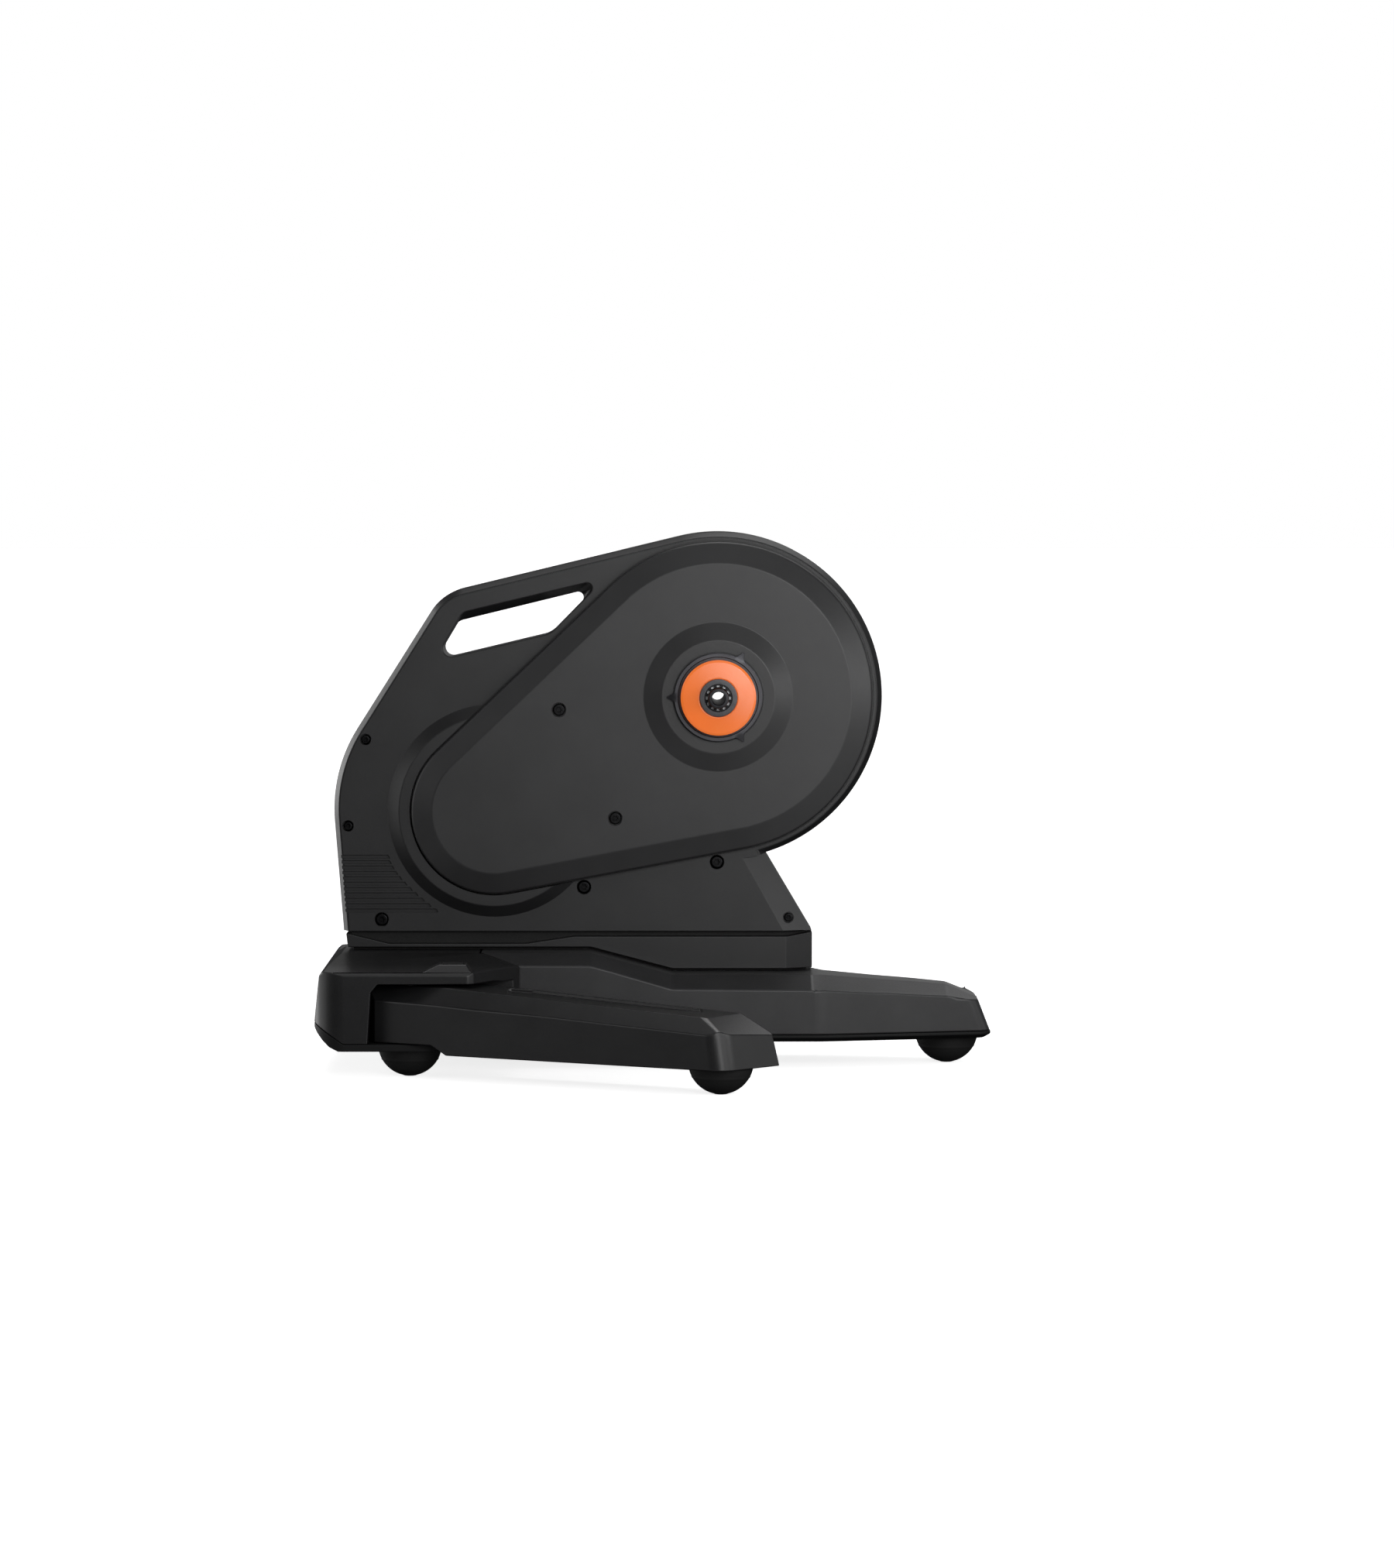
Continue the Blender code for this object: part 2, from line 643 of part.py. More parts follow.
bearing("hub_bearing_near", (0, 0, HUB_Z), BEARING_BORE, BEARING_OUTER, -27.0, -20.0)
bearing("hub_bearing_far", (0, 0, HUB_Z), BEARING_BORE, BEARING_OUTER, -5.0, 2.0)
turned("hub_pulley", [
    (BEARING_OUTER + GAP, -28), (HUB_SHELL_R, -28), (HUB_SHELL_R, -14), (40, -10),
    (BELT_BIG_R - 9, -10), (BELT_BIG_R - 7, BELT_NEAR_Y), (BELT_BIG_R - GAP, BELT_NEAR_Y),
    (BELT_BIG_R - GAP, BELT_FAR_Y), (BELT_BIG_R - 7, BELT_FAR_Y), (BELT_BIG_R - 9, -5), (36, -5),
    (HUB_SHELL_R, 2.0), (BEARING_OUTER + GAP, 2.0),
], (0, 0, 0), hub_axis, CAST_ALUMINIUM, count=48)


# Freehub with the one sprocket between its guide discs

SPROCKET_TEETH = 14
CHAIN_PITCH = 12.7
GUIDE_R = 40.7
POINTER_R = 47.0
DISC_R = 34.7
LOCKRING_R = 17.4
SPLINE_COUNT = 12
FREEHUB_R = 16.6


def sprocket_outline():
    """Rounded valleys a chain pitch apart, and teeth between them."""
    pitch_r = CHAIN_PITCH / 2 / math.sin(math.pi / SPROCKET_TEETH)
    points = []
    for tooth in range(SPROCKET_TEETH):
        for part, radius in ((-0.38, pitch_r - 1.2), (-0.26, pitch_r - 3.6), (0.0, pitch_r - 4.1),
                             (0.26, pitch_r - 3.6), (0.38, pitch_r - 1.2), (0.46, pitch_r + 2.6)):
            turn = math.tau * (tooth + part) / SPROCKET_TEETH
            points.append((radius * math.cos(turn), radius * math.sin(turn)))
    return points


def guide_outline():
    """A circle with three small pointers a third of a turn apart."""
    points = []
    for i in range(48):
        turn = math.tau * i / 48
        radius = POINTER_R if i % 16 == 8 else GUIDE_R
        points.append((radius * math.cos(turn), radius * math.sin(turn)))
    return points


def ring_of(name, outer, inner, near, far, parent, surface):
    """A flat ring between two outlines of equally many points."""
    return tube(name, [across(outer, near), across(outer, far), across(inner, far),
                       across(inner, near)], parent, surface)


sleeve("freehub_body", (0, 0, 0), CAP_R + GAP + 0.3, FREEHUB_R, -51.0, -28.0 - GAP, hub_axis,
       CAST_ALUMINIUM)
ring_of("inner_guide_ring", guide_outline(), circle((0, 0), FREEHUB_R + GAP, 48), -38.6, -36.0,
        hub_axis, PAINTED_METAL)
ring_of("sprocket", sprocket_outline(), circle((0, 0), FREEHUB_R + GAP, SPROCKET_TEETH * 6,
        -360 * 0.38 / SPROCKET_TEETH), -46.0, -44.1, hub_axis, STEEL)
turned("outer_guide_disc", [
    (FREEHUB_R + GAP, -50.7), (FREEHUB_R + GAP, -53.0), (LOCKRING_R + 1.0, -53.6),
    (DISC_R - 1.2, -52.6), (DISC_R, -51.6), (DISC_R, -50.0), (DISC_R - 1.5, -49.8),
    (FREEHUB_R + 2, -50.7),
], (0, 0, 0), hub_axis, ORANGE_PLASTIC, count=40)
lock_slots = [(r * math.cos(t), r * math.sin(t)) for r, t in (
    (11.7 if i % 4 in (1, 2) else 9.9, math.tau * i / (SPLINE_COUNT * 4))
    for i in range(SPLINE_COUNT * 4))]
lockring = ring_of("lockring", circle((0, 0), LOCKRING_R, SPLINE_COUNT * 4), lock_slots, -56.0,
                   -53.6 - GAP, hub_axis, STEEL)


# Flywheel with its shaft and small pulley, and the belt

SHAFT_R = 8.0
FLYWHEEL_R = 84.0
FLYWHEEL_NEAR_Y = 14.5
FLYWHEEL_FAR_Y = 48.0
SHAFT_BEARING_R = 13.0

turned("flywheel_shaft", [
    (0, -15), (SHAFT_R, -15), (SHAFT_R, BELT_NEAR_Y - 0.5), (BELT_SMALL_R - GAP, BELT_NEAR_Y - 0.5),
    (BELT_SMALL_R - GAP, BELT_FAR_Y + 0.5), (SHAFT_R, BELT_FAR_Y + 0.5), (SHAFT_R, 57), (0, 57),
], (0, 0, 0), flywheel_axis, STEEL)
turned("flywheel", [
    (SHAFT_R + GAP, FLYWHEEL_NEAR_Y), (FLYWHEEL_R - 1.5, FLYWHEEL_NEAR_Y),
    (FLYWHEEL_R, FLYWHEEL_NEAR_Y + 1.5), (FLYWHEEL_R, FLYWHEEL_FAR_Y - 1.5),
    (FLYWHEEL_R - 1.5, FLYWHEEL_FAR_Y), (66, FLYWHEEL_FAR_Y), (66, 21), (17, 21), (17, 27),
    (SHAFT_R + GAP, 27),
], (0, 0, 0), flywheel_axis, STEEL, count=40)
flywheel_place = (FLYWHEEL_X, 0, FLYWHEEL_Z)
bearing("flywheel_bearing_near", flywheel_place, SHAFT_R + GAP, SHAFT_BEARING_R, 5.0, 12.0)
bearing("flywheel_bearing_far", flywheel_place, SHAFT_R + GAP, SHAFT_BEARING_R, 49.0, 56.0)

belt_inside = around([(*HUB, BELT_BIG_R), (*FLYWHEEL, BELT_SMALL_R)], 6.0)
belt_outside = around([(*HUB, BELT_BIG_R + BELT_THICK), (*FLYWHEEL, BELT_SMALL_R + BELT_THICK)],
                      6.0)
ring_of("drive_belt", belt_outside, belt_inside, BELT_NEAR_Y + 1, BELT_FAR_Y - 1, trainer, RUBBER)


# Brake: a core with four coils stands still inside the flywheel's rim, held by the far half

COIL_COUNT = 4

brake_carrier = turned("brake_carrier", [
    (SHAFT_BEARING_R + GAP, 48), (18, 48), (18, 54.7), (70, 54.7), (70, 58.7),
    (SHAFT_BEARING_R + GAP, 58.7),
], flywheel_place, trainer, CAST_ALUMINIUM)
brake_core = turned("brake_core", [
    (18.3, 29), (26, 29), (26, 54.4), (18.3, 54.4),
], flywheel_place, trainer, BLACK_STEEL)


def spoke(name, turn_deg, low, high, surface=None):
    """A block set out from the flywheel axis: low and high are (radius, aside, y)."""
    turn = math.radians(turn_deg)
    rings = []
    for y in (low[2], high[2]):
        rings.append([
            (FLYWHEEL_X + r * math.cos(turn) - t * math.sin(turn), y,
             FLYWHEEL_Z + r * math.sin(turn) + t * math.cos(turn))
            for r, t in ((low[0], low[1]), (high[0], low[1]), (high[0], high[1]), (low[0], high[1]))
        ])
    return loft(name, rings, trainer, surface)


for i in range(COIL_COUNT):
    turn = 45 + 360 * i / COIL_COUNT
    join(brake_core, spoke(f"pole_{i + 1}", turn, (22, -7, 30), (60, 7, 46)))
    coil = spoke(f"brake_coil_{i + 1}", turn, (31, -13, 24), (55, 13, 52), COPPER)
    cut(coil, spoke(f"coil_bore_{i + 1}", turn, (20, -7.3, 29.7), (70, 7.3, 46.3)))


# Electronics: board on the frame plate, power socket and status light on the far side

control_board = block("control_board", (-95, 16, 131), (-16, 17.6, 178), trainer, BOARD_GREEN)
for i, (x, z) in enumerate(((-89, 137), (-22, 137), (-22, 172), (-89, 172))):
    join(control_board, pin(f"board_peg_{i + 1}", (x, 0, z), 3.0, PLATE_FAR_Y + GAP, 16.8, trainer,
                            count=16))
join(control_board, block("board_chip", (-70, 17, 145), (-45, 20, 168), trainer))
SOCKET_PLACE = (-300, 0, 165)
turned("power_socket", [
    (0, 48), (9.0, 48), (9.0, 58.5), (6.5, 58.5), (6.5, 61.5), (4.0, 61.5), (4.0, 52), (1.2, 52),
    (1.2, 60), (0, 60),
], SOCKET_PLACE, trainer, DARK_PLASTIC, count=20)
cut(far_side, pin("socket_hole", SOCKET_PLACE, 6.8, 50, 70, trainer))
LIGHT_PLACE = (-300, 0, 192)
pin("status_light", LIGHT_PLACE, 2.5, 56, 62.2, trainer, LIGHT_LENS, count=16)
cut(far_side, pin("light_hole", LIGHT_PLACE, 2.8, 50, 70, trainer))


# Front beam: flat top with a wide chamfer each side, raised at the rear to the saddle's height

BEAM_SIDE = 75.0
BEAM_REAR_X = -219.0
BEAM_JOINT_X = -183.0
SADDLE_HALF = 40.0
BEAM_STATIONS = [
    # place in X, half width and height of the flat top, half width and height of the side's edge
    (BEAM_REAR_X, SADDLE_HALF, SADDLE_Z, 75.0, 95.4),
    (-117, SADDLE_HALF, SADDLE_Z, 75.0, 95.4),
    (-42, SADDLE_HALF, BEAM_TOP_Z, 75.0, 74.0),
    (86, SADDLE_HALF, BEAM_TOP_Z, 75.0, 73.0),
    (97, 27.0, 83.3, 74.5, 72.8),
    (142, 21.5, 79.4, 63.6, 69.9),
    (178, 19.0, 76.7, 54.9, 67.6),
    (211, 15.6, 73.65, 47.0, 65.5),
    (240, 14.0, 61.3, 40.0, 61.3),
    (262, 13.0, 49.8, 36.0, 49.8),
]


def beam_section(x, top_half, top_z, side_half, side_z):
    """One section, its chamfers drawn on past the sides, which the footprint trims."""
    beyond = 12.0
    low_z = side_z - beyond * (top_z - side_z) / (side_half - top_half)
    half = side_half + beyond
    near = [(x, -half, 20), (x, -half, low_z), (x, -top_half, top_z)]
    return near + [(x, -y, z) for x, y, z in reversed(near)]


def beam_footprint(z, front_x, shrink=0.0):
    near = outline(
        (BEAM_REAR_X - 1, -SADDLE_HALF),
        (BEAM_JOINT_X, -BEAM_SIDE + shrink),
        (95, -BEAM_SIDE + shrink, 60.0),
        (front_x, -45 + 0.235 * (front_x - 219) + shrink, 14.0),
        (front_x, 0),
    )[:-1]
    return level(near + [(x, -y) for x, y in reversed(near)], z)


front_beam = loft("front_beam", [beam_section(*station) for station in BEAM_STATIONS], trainer,
                  PAINTED_METAL)
BEAM_FOOT_Z = TRAY_TOP_Z + GAP
keep_within(front_beam, loft("beam_trim", [
    beam_footprint(BEAM_FOOT_Z, 251.0), beam_footprint(62, 239.4), beam_footprint(110, 221.6),
], trainer))
BEAM_HOLLOW_HALF = 69.0
BEAM_WALL = 5.0


def beam_hollow_section(x, top_z, edge_z):
    """The hollow follows the flat top and the chamfers from below, a wall's thickness away."""
    half = [(BEAM_HOLLOW_HALF, 20), (BEAM_HOLLOW_HALF, edge_z - BEAM_WALL),
            (SADDLE_HALF - 2, top_z - BEAM_WALL)]
    return [(x, -y, z) for y, z in half] + [(x, y, z) for y, z in reversed(half)]


cut(front_beam, loft("beam_hollow", [
    beam_hollow_section(-178, SADDLE_Z, 96.0), beam_hollow_section(-117, SADDLE_Z, 96.0),
    beam_hollow_section(-42, BEAM_TOP_Z, 75.0), beam_hollow_section(86, BEAM_TOP_Z, 74.0),
], trainer))
cut(front_beam, slab("beam_nose_hollow", [(80, -62), (202, -36), (202, 36), (80, 62)], 20, 61,
                     trainer))
RAIL_LOW = (-330.0, -10.0, 36.0)
RAIL_HIGH = (94.0, 46.0, RAIL_TOP_Z)
rail_passage = block("rail_passage", (-332, -11, 20), (96, 47, RAIL_TOP_Z + 0.8), trainer)
cut(front_beam, rail_passage)
cut(front_beam, block("beam_slot", (-172, 3, 70), (42, 46, 110), trainer))
base_rail = block("base_rail", RAIL_LOW, RAIL_HIGH, trainer, STEEL)
cut(base_rail, block("rail_bore", (RAIL_LOW[0] - 5, RAIL_LOW[1] + 3, RAIL_LOW[2] + 3),
                     (RAIL_HIGH[0] + 5, RAIL_HIGH[1] - 3, RAIL_HIGH[2] - 3), trainer))

TRAY_SPLIT_X = -190.0
beam_tray = loft("beam_tray", [
    beam_footprint(TRAY_TOP_Z, 251.6), beam_footprint(29.0, 251.6),
    beam_footprint(TRAY_BOTTOM_Z, 246.0, 5.0),
], trainer, DARK_PLASTIC)
cut(beam_tray, block("beam_tray_end", (-300, -100, 0), (TRAY_SPLIT_X + GAP, 100, 50), trainer))


# Rear base: a plate with a lip over each leg, sloping up to the saddle

SEAM_FOOT = (-339.0, TRAY_TOP_Z)
SEAM_HEAD = (REAR_END_X, 50.0)
LIP_FRONT_X = -223.0
WALL_Y = 85.0
SLOT_CEILING = [(-160, 84), (-196, 84), (-205, LIP_UNDER_Z), (-308, LIP_UNDER_Z),
                (-314.2, 78.5), (-317.8, 20), (-160, 20)]
base_profile = [
    (SEAM_FOOT[0], SEAM_FOOT[1] + GAP), (-150, SEAM_FOOT[1] + GAP), (-150, 120), (-326.8, 120),
    (-358.0, 96.2), (-361.2, 93.5), (SEAM_HEAD[0], SEAM_HEAD[1] + GAP),
]


def base_plan(low, high, name):
    near = outline(
        (REAR_END_X, 0),
        (REAR_END_X, -BASE_HALF, 28.0),
        (LIP_FRONT_X, -BASE_HALF, 8.0),
        (BEAM_JOINT_X, -BEAM_SIDE - GAP),
        (BEAM_REAR_X - 1 - GAP, -SADDLE_HALF),
    )[1:]
    return slab(name, near + [(x, -y) for x, y in reversed(near)], low, high, trainer)


rear_base = plate("rear_base", base_profile, -BASE_HALF - 5, BASE_HALF + 5, trainer, PAINTED_METAL)
keep_within(rear_base, base_plan(0, 150, "base_trim"))
slope_profile = [
    (-SADDLE_HALF, SADDLE_Z), (-82, LIP_TOP_Z), (-BASE_HALF + 4, LIP_TOP_Z),
    (-BASE_HALF - 1, LIP_TOP_Z - 5), (-BASE_HALF - 1, 10),
]
slope_profile += [(-y, z) for y, z in reversed(slope_profile)]
keep_within(rear_base, loft("base_slope", [
    [(x, y, z) for y, z in slope_profile] for x in (-380, -140)], trainer))


def sloped_cut(target, name, corners, top_z=160.0, parent=None):
    """Takes away all that stands above a plane, inside the outline of its corners."""
    roof = [(x, y, top_z) for x, y, _ in corners]
    cut(target, loft(name, [corners, roof], parent or trainer))


for side, word in ((-1, "near"), (1, "far")):
    # Front ramp of the lip
    sloped_cut(rear_base, f"{word}_ramp", [
        (-224, 160 * side, 96.8), (-218.8, 40 * side, 104.6), (-146, -11.6 * side, 95.9),
        (-146, 166 * side, 83.0),
    ])
    # Slot for the leg
    cut(rear_base, plate(f"{word}_leg_slot", SLOT_CEILING, side * 120, side * 175, trainer))
    inner_slot = [(x, z) if x > -300 else (HINGE_X, z) for x, z in SLOT_CEILING if x != -314.2]
    cut(rear_base, plate(f"{word}_inner_slot", inner_slot, side * WALL_Y, side * 122, trainer))
    cut(rear_base, turned(f"{word}_root_room", [(0, 20), (43, 20), (43, 84.2), (0, 84.2)],
                          (HINGE_X, side * HINGE_Y, 0), trainer, upright=True))

base_pocket = loft("base_pocket", [
    [(x, y, z) for y, z in ((-70, 20), (-70, 91), (-SADDLE_HALF, 98), (SADDLE_HALF, 98), (70, 91),
                            (70, 20))]
    for x in (-346, -227)], trainer)
cut(rear_base, base_pocket, rail_passage)


# Rear tray: closes the base from below, turned up at the rear, with a lobe under each hinge

ROOT_CLEAR_R = 46.0
near_tray = outline(
    (REAR_END_X, 0),
    (REAR_END_X, -BASE_HALF, 28.0),
    (HINGE_X + 22.7, -BASE_HALF),
    arc((HINGE_X, -HINGE_Y), ROOT_CLEAR_R, -59, 50),
    (-246, -83),
    (-226, -83),
    (-222, -74),
    (TRAY_SPLIT_X, -74),
)[1:]
rear_tray = plate("rear_tray", [
    (-150, TRAY_TOP_Z), SEAM_FOOT, SEAM_HEAD, (-366.2, 46.0), (-363.0, 41.0), (-358.0, 35.0),
    (-352.0, 29.3), (-343.5, TRAY_BOTTOM_Z), (-150, TRAY_BOTTOM_Z),
], -BASE_HALF - 5, BASE_HALF + 5, trainer, DARK_PLASTIC)
keep_within(rear_tray, slab("tray_trim", near_tray + [(x, -y) for x, y in reversed(near_tray)],
                            0, 80, trainer))


# Hinge pins, and the ball feet with the stud that holds each one

STUD_R = 6.0


def ball_foot(name, place, cut_z, stud_z, parent):
    """A ball cut flat by the part above, with a stud up into it and a small flat on the floor."""
    centre_z = FOOT_R - CONTACT_CUT
    low = math.degrees(math.acos(centre_z / FOOT_R))
    high = 180 - math.degrees(math.acos((cut_z - centre_z) / FOOT_R))
    steps = 6
    ball = []
    for i in range(steps + 1):
        turn = math.radians(low + (high - low) * i / steps)
        ball.append((FOOT_R * math.sin(turn), centre_z - FOOT_R * math.cos(turn)))
    profile = [(0, ball[0][1]), *ball, (STUD_R, cut_z), (STUD_R, stud_z), (0, stud_z)]
    return turned(name, profile, place, parent, RUBBER, upright=True, count=24)


def stud_hole(target, name, place, parent, low=10.0, high=60.0):
    cut(target, turned(name, [(0, low), (STUD_R + GAP, low), (STUD_R + GAP, high), (0, high)],
                       place, parent, upright=True, count=20))


REST_Z = TRAY_BOTTOM_Z - GAP
ball_foot("front_foot", (FRONT_FOOT_X, 0, 0), REST_Z, 31.0, trainer)
stud_hole(beam_tray, "front_stud_hole", (FRONT_FOOT_X, 0, 0), trainer)
for side, word in ((-1, "near"), (1, "far")):
    hinge_place = (HINGE_X, side * HINGE_Y, 0)
    ball_foot(f"{word}_rear_foot", hinge_place, REST_Z, 31.0, trainer)
    stud_hole(rear_tray, f"{word}_stud_hole", hinge_place, trainer)
    pin(f"{word}_hinge_pin", hinge_place, PIN_R, 32.4, 92, trainer, STEEL, upright=True, count=28)
    cut(rear_base, pin(f"{word}_pin_hole", hinge_place, PIN_R + GAP, 70, 92.4, trainer,
                       upright=True, count=28))


# Legs: each is drawn along its own length, u from the hinge and v outward, and then turned open

LEG_OUTER = 38.0
LEG_INNER = 34.0
LEG_FLAT_V = 22.0
LEG_BOTTOM_Z = 24.0
ROOT_BOTTOM_Z = 32.5
ROOT_UNDER_R = 59.2
LEG_STATIONS = [
    # place along the leg, height of the flat top, height of the outer side's edge
    (-60, 83.5, 70.5),
    (50, 83.5, 68.6),
    (160, 77.6, 64.2),
    (315, 69.2, 55.8),
    (380, 65.7, 52.3),
]
CHANNEL = [(89, -24), (114, 17), (215, 17), (297, -12), (285, -29), (112, -30)]
CHANNEL_DEPTH = 3.0
BUSH_R = 11.0


def leg_section(u, top_z, edge_z, side):
    beyond = 10.0
    low_z = edge_z - beyond * (top_z - edge_z) / (LEG_OUTER - LEG_FLAT_V)
    points = [(LEG_OUTER + beyond, 10), (LEG_OUTER + beyond, low_z), (LEG_FLAT_V, top_z),
              (-LEG_INNER - 10, top_z), (-LEG_INNER - 10, 10)]
    return [(u, side * v, z) for v, z in points]


def leg_footprint(z, reach, side):
    """The leg seen from above: a root with one corner, straight sides and a slanting end."""
    start = 180 + math.degrees(math.asin(LEG_INNER / LEG_OUTER))
    points = outline(
        (-14.0, LEG_OUTER, 2.5),
        arc((0, 0), LEG_OUTER, 140, start),
        (360.6 + 1.9 * reach, -LEG_INNER, 5.0),
        (345.4 + reach, LEG_OUTER, 20.0),
    )
    return [(u, side * v, z) for u, v in points]


def top_z_at(u):
    for (u0, z0, _), (u1, z1, _) in zip(LEG_STATIONS, LEG_STATIONS[1:]):
        if u0 <= u <= u1:
            return z0 + (z1 - z0) * (u - u0) / (u1 - u0)


def nose_z_at(u, v):
    """Height of the flat facet that slopes down over the leg's end."""
    return 69.0 - 0.53 * (u - 319.5) - 0.03 * (v - 22.0)


def add_leg(word, side):
    hinge = empty(f"{word}_leg_hinge", (HINGE_X, side * HINGE_Y, 0), trainer, side * LEG_OPEN_DEG)
    leg = loft(f"{word}_leg", [leg_section(*station, side) for station in LEG_STATIONS], hinge,
               PAINTED_METAL)
    keep_within(leg, loft(f"{word}_leg_trim", [
        leg_footprint(LEG_BOTTOM_Z, 1.0, side), leg_footprint(52, -2.9, side),
        leg_footprint(100, -9.7, side),
    ], hinge))
    sloped_cut(leg, f"{word}_leg_nose", [
        (u, side * v, nose_z_at(u, v)) for u, v in ((294, 60), (310, -50), (425, -50), (384, 60))
    ], parent=hinge)
    cut(leg, turned(f"{word}_root_under", [
        (0, 10), (ROOT_UNDER_R + 1.45 * (ROOT_BOTTOM_Z - 10), 10), (ROOT_UNDER_R, ROOT_BOTTOM_Z),
        (0, ROOT_BOTTOM_Z)], (0, 0, 0), hinge, upright=True))
    cut(leg, loft(f"{word}_leg_channel", [
        [(u, side * v, top_z_at(u) - CHANNEL_DEPTH) for u, v in CHANNEL],
        [(u, side * v, 100) for u, v in CHANNEL],
    ], hinge))
    cut(leg, loft(f"{word}_leg_hollow", [
        [(u, side * v, z) for v, z in ((-29, 10), (34, 10), (34, top - 9), (20, top), (-29, top))]
        for u, top in ((56, 75.5), (284, 63.5))], hinge))
    cut(leg, turned(f"{word}_bush_bore", [(0, 10), (BUSH_R + GAP, 10), (BUSH_R + GAP, 100),
                                          (0, 100)], (0, 0, 0), hinge, upright=True))
    turned(f"{word}_leg_bush", [
        (PIN_R + GAP, 32.8), (BUSH_R, 32.8), (BUSH_R, 83.2), (PIN_R + GAP, 83.2),
    ], (0, 0, 0), hinge, BRONZE, upright=True, count=24)
    ball_foot(f"{word}_leg_foot", (LEG_LENGTH, 0, 0), LEG_BOTTOM_Z - GAP, 44.0, hinge)
    stud_hole(leg, f"{word}_leg_stud_hole", (LEG_LENGTH, 0, 0), hinge, 10, 44.4)


add_leg("near", -1)
add_leg("far", 1)


# A hump on each lip holds the button that frees the leg

# Rear, front, outer and inner edge of each
HUMP_LOW = (-267.6, -223.9, 157.6, 120.0)
HUMP_HIGH = (-253.0, -228.0, 151.5, 128.0)
HUMP_TOP_Z = 103.4
BUTTON_EDGES = (-250.0, -230.6, 149.5, 131.0)
BUTTON_TOP_Z = 104.4
BUTTON_TRAVEL = 2.5
BUTTON_DEPTH = 5.0
WELL_FLOOR_Z = BUTTON_TOP_Z - BUTTON_DEPTH - BUTTON_TRAVEL - 0.5
LATCH_R = 4.0
STEM_LOW = LEG_STATIONS[0][1] + 1.4 + BUTTON_TRAVEL - BUTTON_TOP_Z


def hump_ring(sizes, z, side, grow=0.0):
    rear, front, outer, inner = sizes
    return [(rear - grow, side * (outer + grow), z), (front + grow, side * (outer + grow), z),
            (front + grow, side * (inner - grow), z), (rear - grow, side * (inner - grow), z)]


for side, word in ((-1, "near"), (1, "far")):
    join(rear_base, loft(f"{word}_hump", [
        hump_ring(HUMP_LOW, 96.0, side, 1.0), hump_ring(HUMP_LOW, 96.8, side),
        hump_ring(HUMP_HIGH, HUMP_TOP_Z, side),
    ], trainer))
    cut(rear_base, loft(f"{word}_button_well", [
        hump_ring(BUTTON_EDGES, WELL_FLOOR_Z, side, GAP), hump_ring(BUTTON_EDGES, 115, side, GAP),
    ], trainer))
    button_x = (BUTTON_EDGES[0] + BUTTON_EDGES[1]) / 2
    button_y = side * (BUTTON_EDGES[2] + BUTTON_EDGES[3]) / 2
    holder = empty(f"{word}_button_axis", (button_x, button_y, BUTTON_TOP_Z), trainer)
    half_x = (BUTTON_EDGES[1] - BUTTON_EDGES[0]) / 2
    half_y = (BUTTON_EDGES[2] - BUTTON_EDGES[3]) / 2
    button = loft(f"{word}_release_button", [
        level([(-half_x, -half_y), (half_x, -half_y), (half_x, half_y), (-half_x, half_y)],
              -BUTTON_DEPTH),
        level([(-half_x, -half_y), (half_x, -half_y), (half_x, half_y), (-half_x, half_y)], -0.8),
        level([(-half_x + 0.8, -half_y + 0.8), (half_x - 0.8, -half_y + 0.8),
               (half_x - 0.8, half_y - 0.8), (-half_x + 0.8, half_y - 0.8)], 0.0),
    ], holder, DARK_PLASTIC)
    join(button, pin(f"{word}_latch_stem", (0, 0, 0), LATCH_R, STEM_LOW, 1 - BUTTON_DEPTH, holder,
                     upright=True, count=16))
    cut(rear_base, pin(f"{word}_latch_hole", (button_x, button_y, 0), LATCH_R + GAP, 60, 99,
                       trainer, upright=True, count=16))
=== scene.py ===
"""Direct drive bike trainer: the looks of every piece, in the order it is put together.

Sizes are in millimetres and MM turns them into Blender's metres. X points to the front of the
bike, the chain side is at -Y, and Z is up. Places are measured from the floor under the axle.
"""

import math

import bmesh
import bpy
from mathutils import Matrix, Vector


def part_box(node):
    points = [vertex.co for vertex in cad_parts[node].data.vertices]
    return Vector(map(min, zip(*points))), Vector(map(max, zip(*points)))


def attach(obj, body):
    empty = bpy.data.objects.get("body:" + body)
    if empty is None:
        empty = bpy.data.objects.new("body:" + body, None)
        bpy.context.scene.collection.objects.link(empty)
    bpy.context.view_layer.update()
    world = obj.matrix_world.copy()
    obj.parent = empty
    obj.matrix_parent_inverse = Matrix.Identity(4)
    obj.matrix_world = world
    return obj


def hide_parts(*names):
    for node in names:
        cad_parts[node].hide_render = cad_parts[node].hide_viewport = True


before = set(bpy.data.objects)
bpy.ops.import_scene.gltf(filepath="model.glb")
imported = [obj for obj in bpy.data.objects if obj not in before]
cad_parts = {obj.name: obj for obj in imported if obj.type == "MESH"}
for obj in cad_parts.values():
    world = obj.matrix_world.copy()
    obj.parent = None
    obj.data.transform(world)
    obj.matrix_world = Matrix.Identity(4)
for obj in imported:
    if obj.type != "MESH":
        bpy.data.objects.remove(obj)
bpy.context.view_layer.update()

# Rear base
# The real piece is one aluminium die casting under a dark grey satin powder coat. It holds both
# hinge pins under a lip, carries the body on its saddle, and has a hump for each release button.

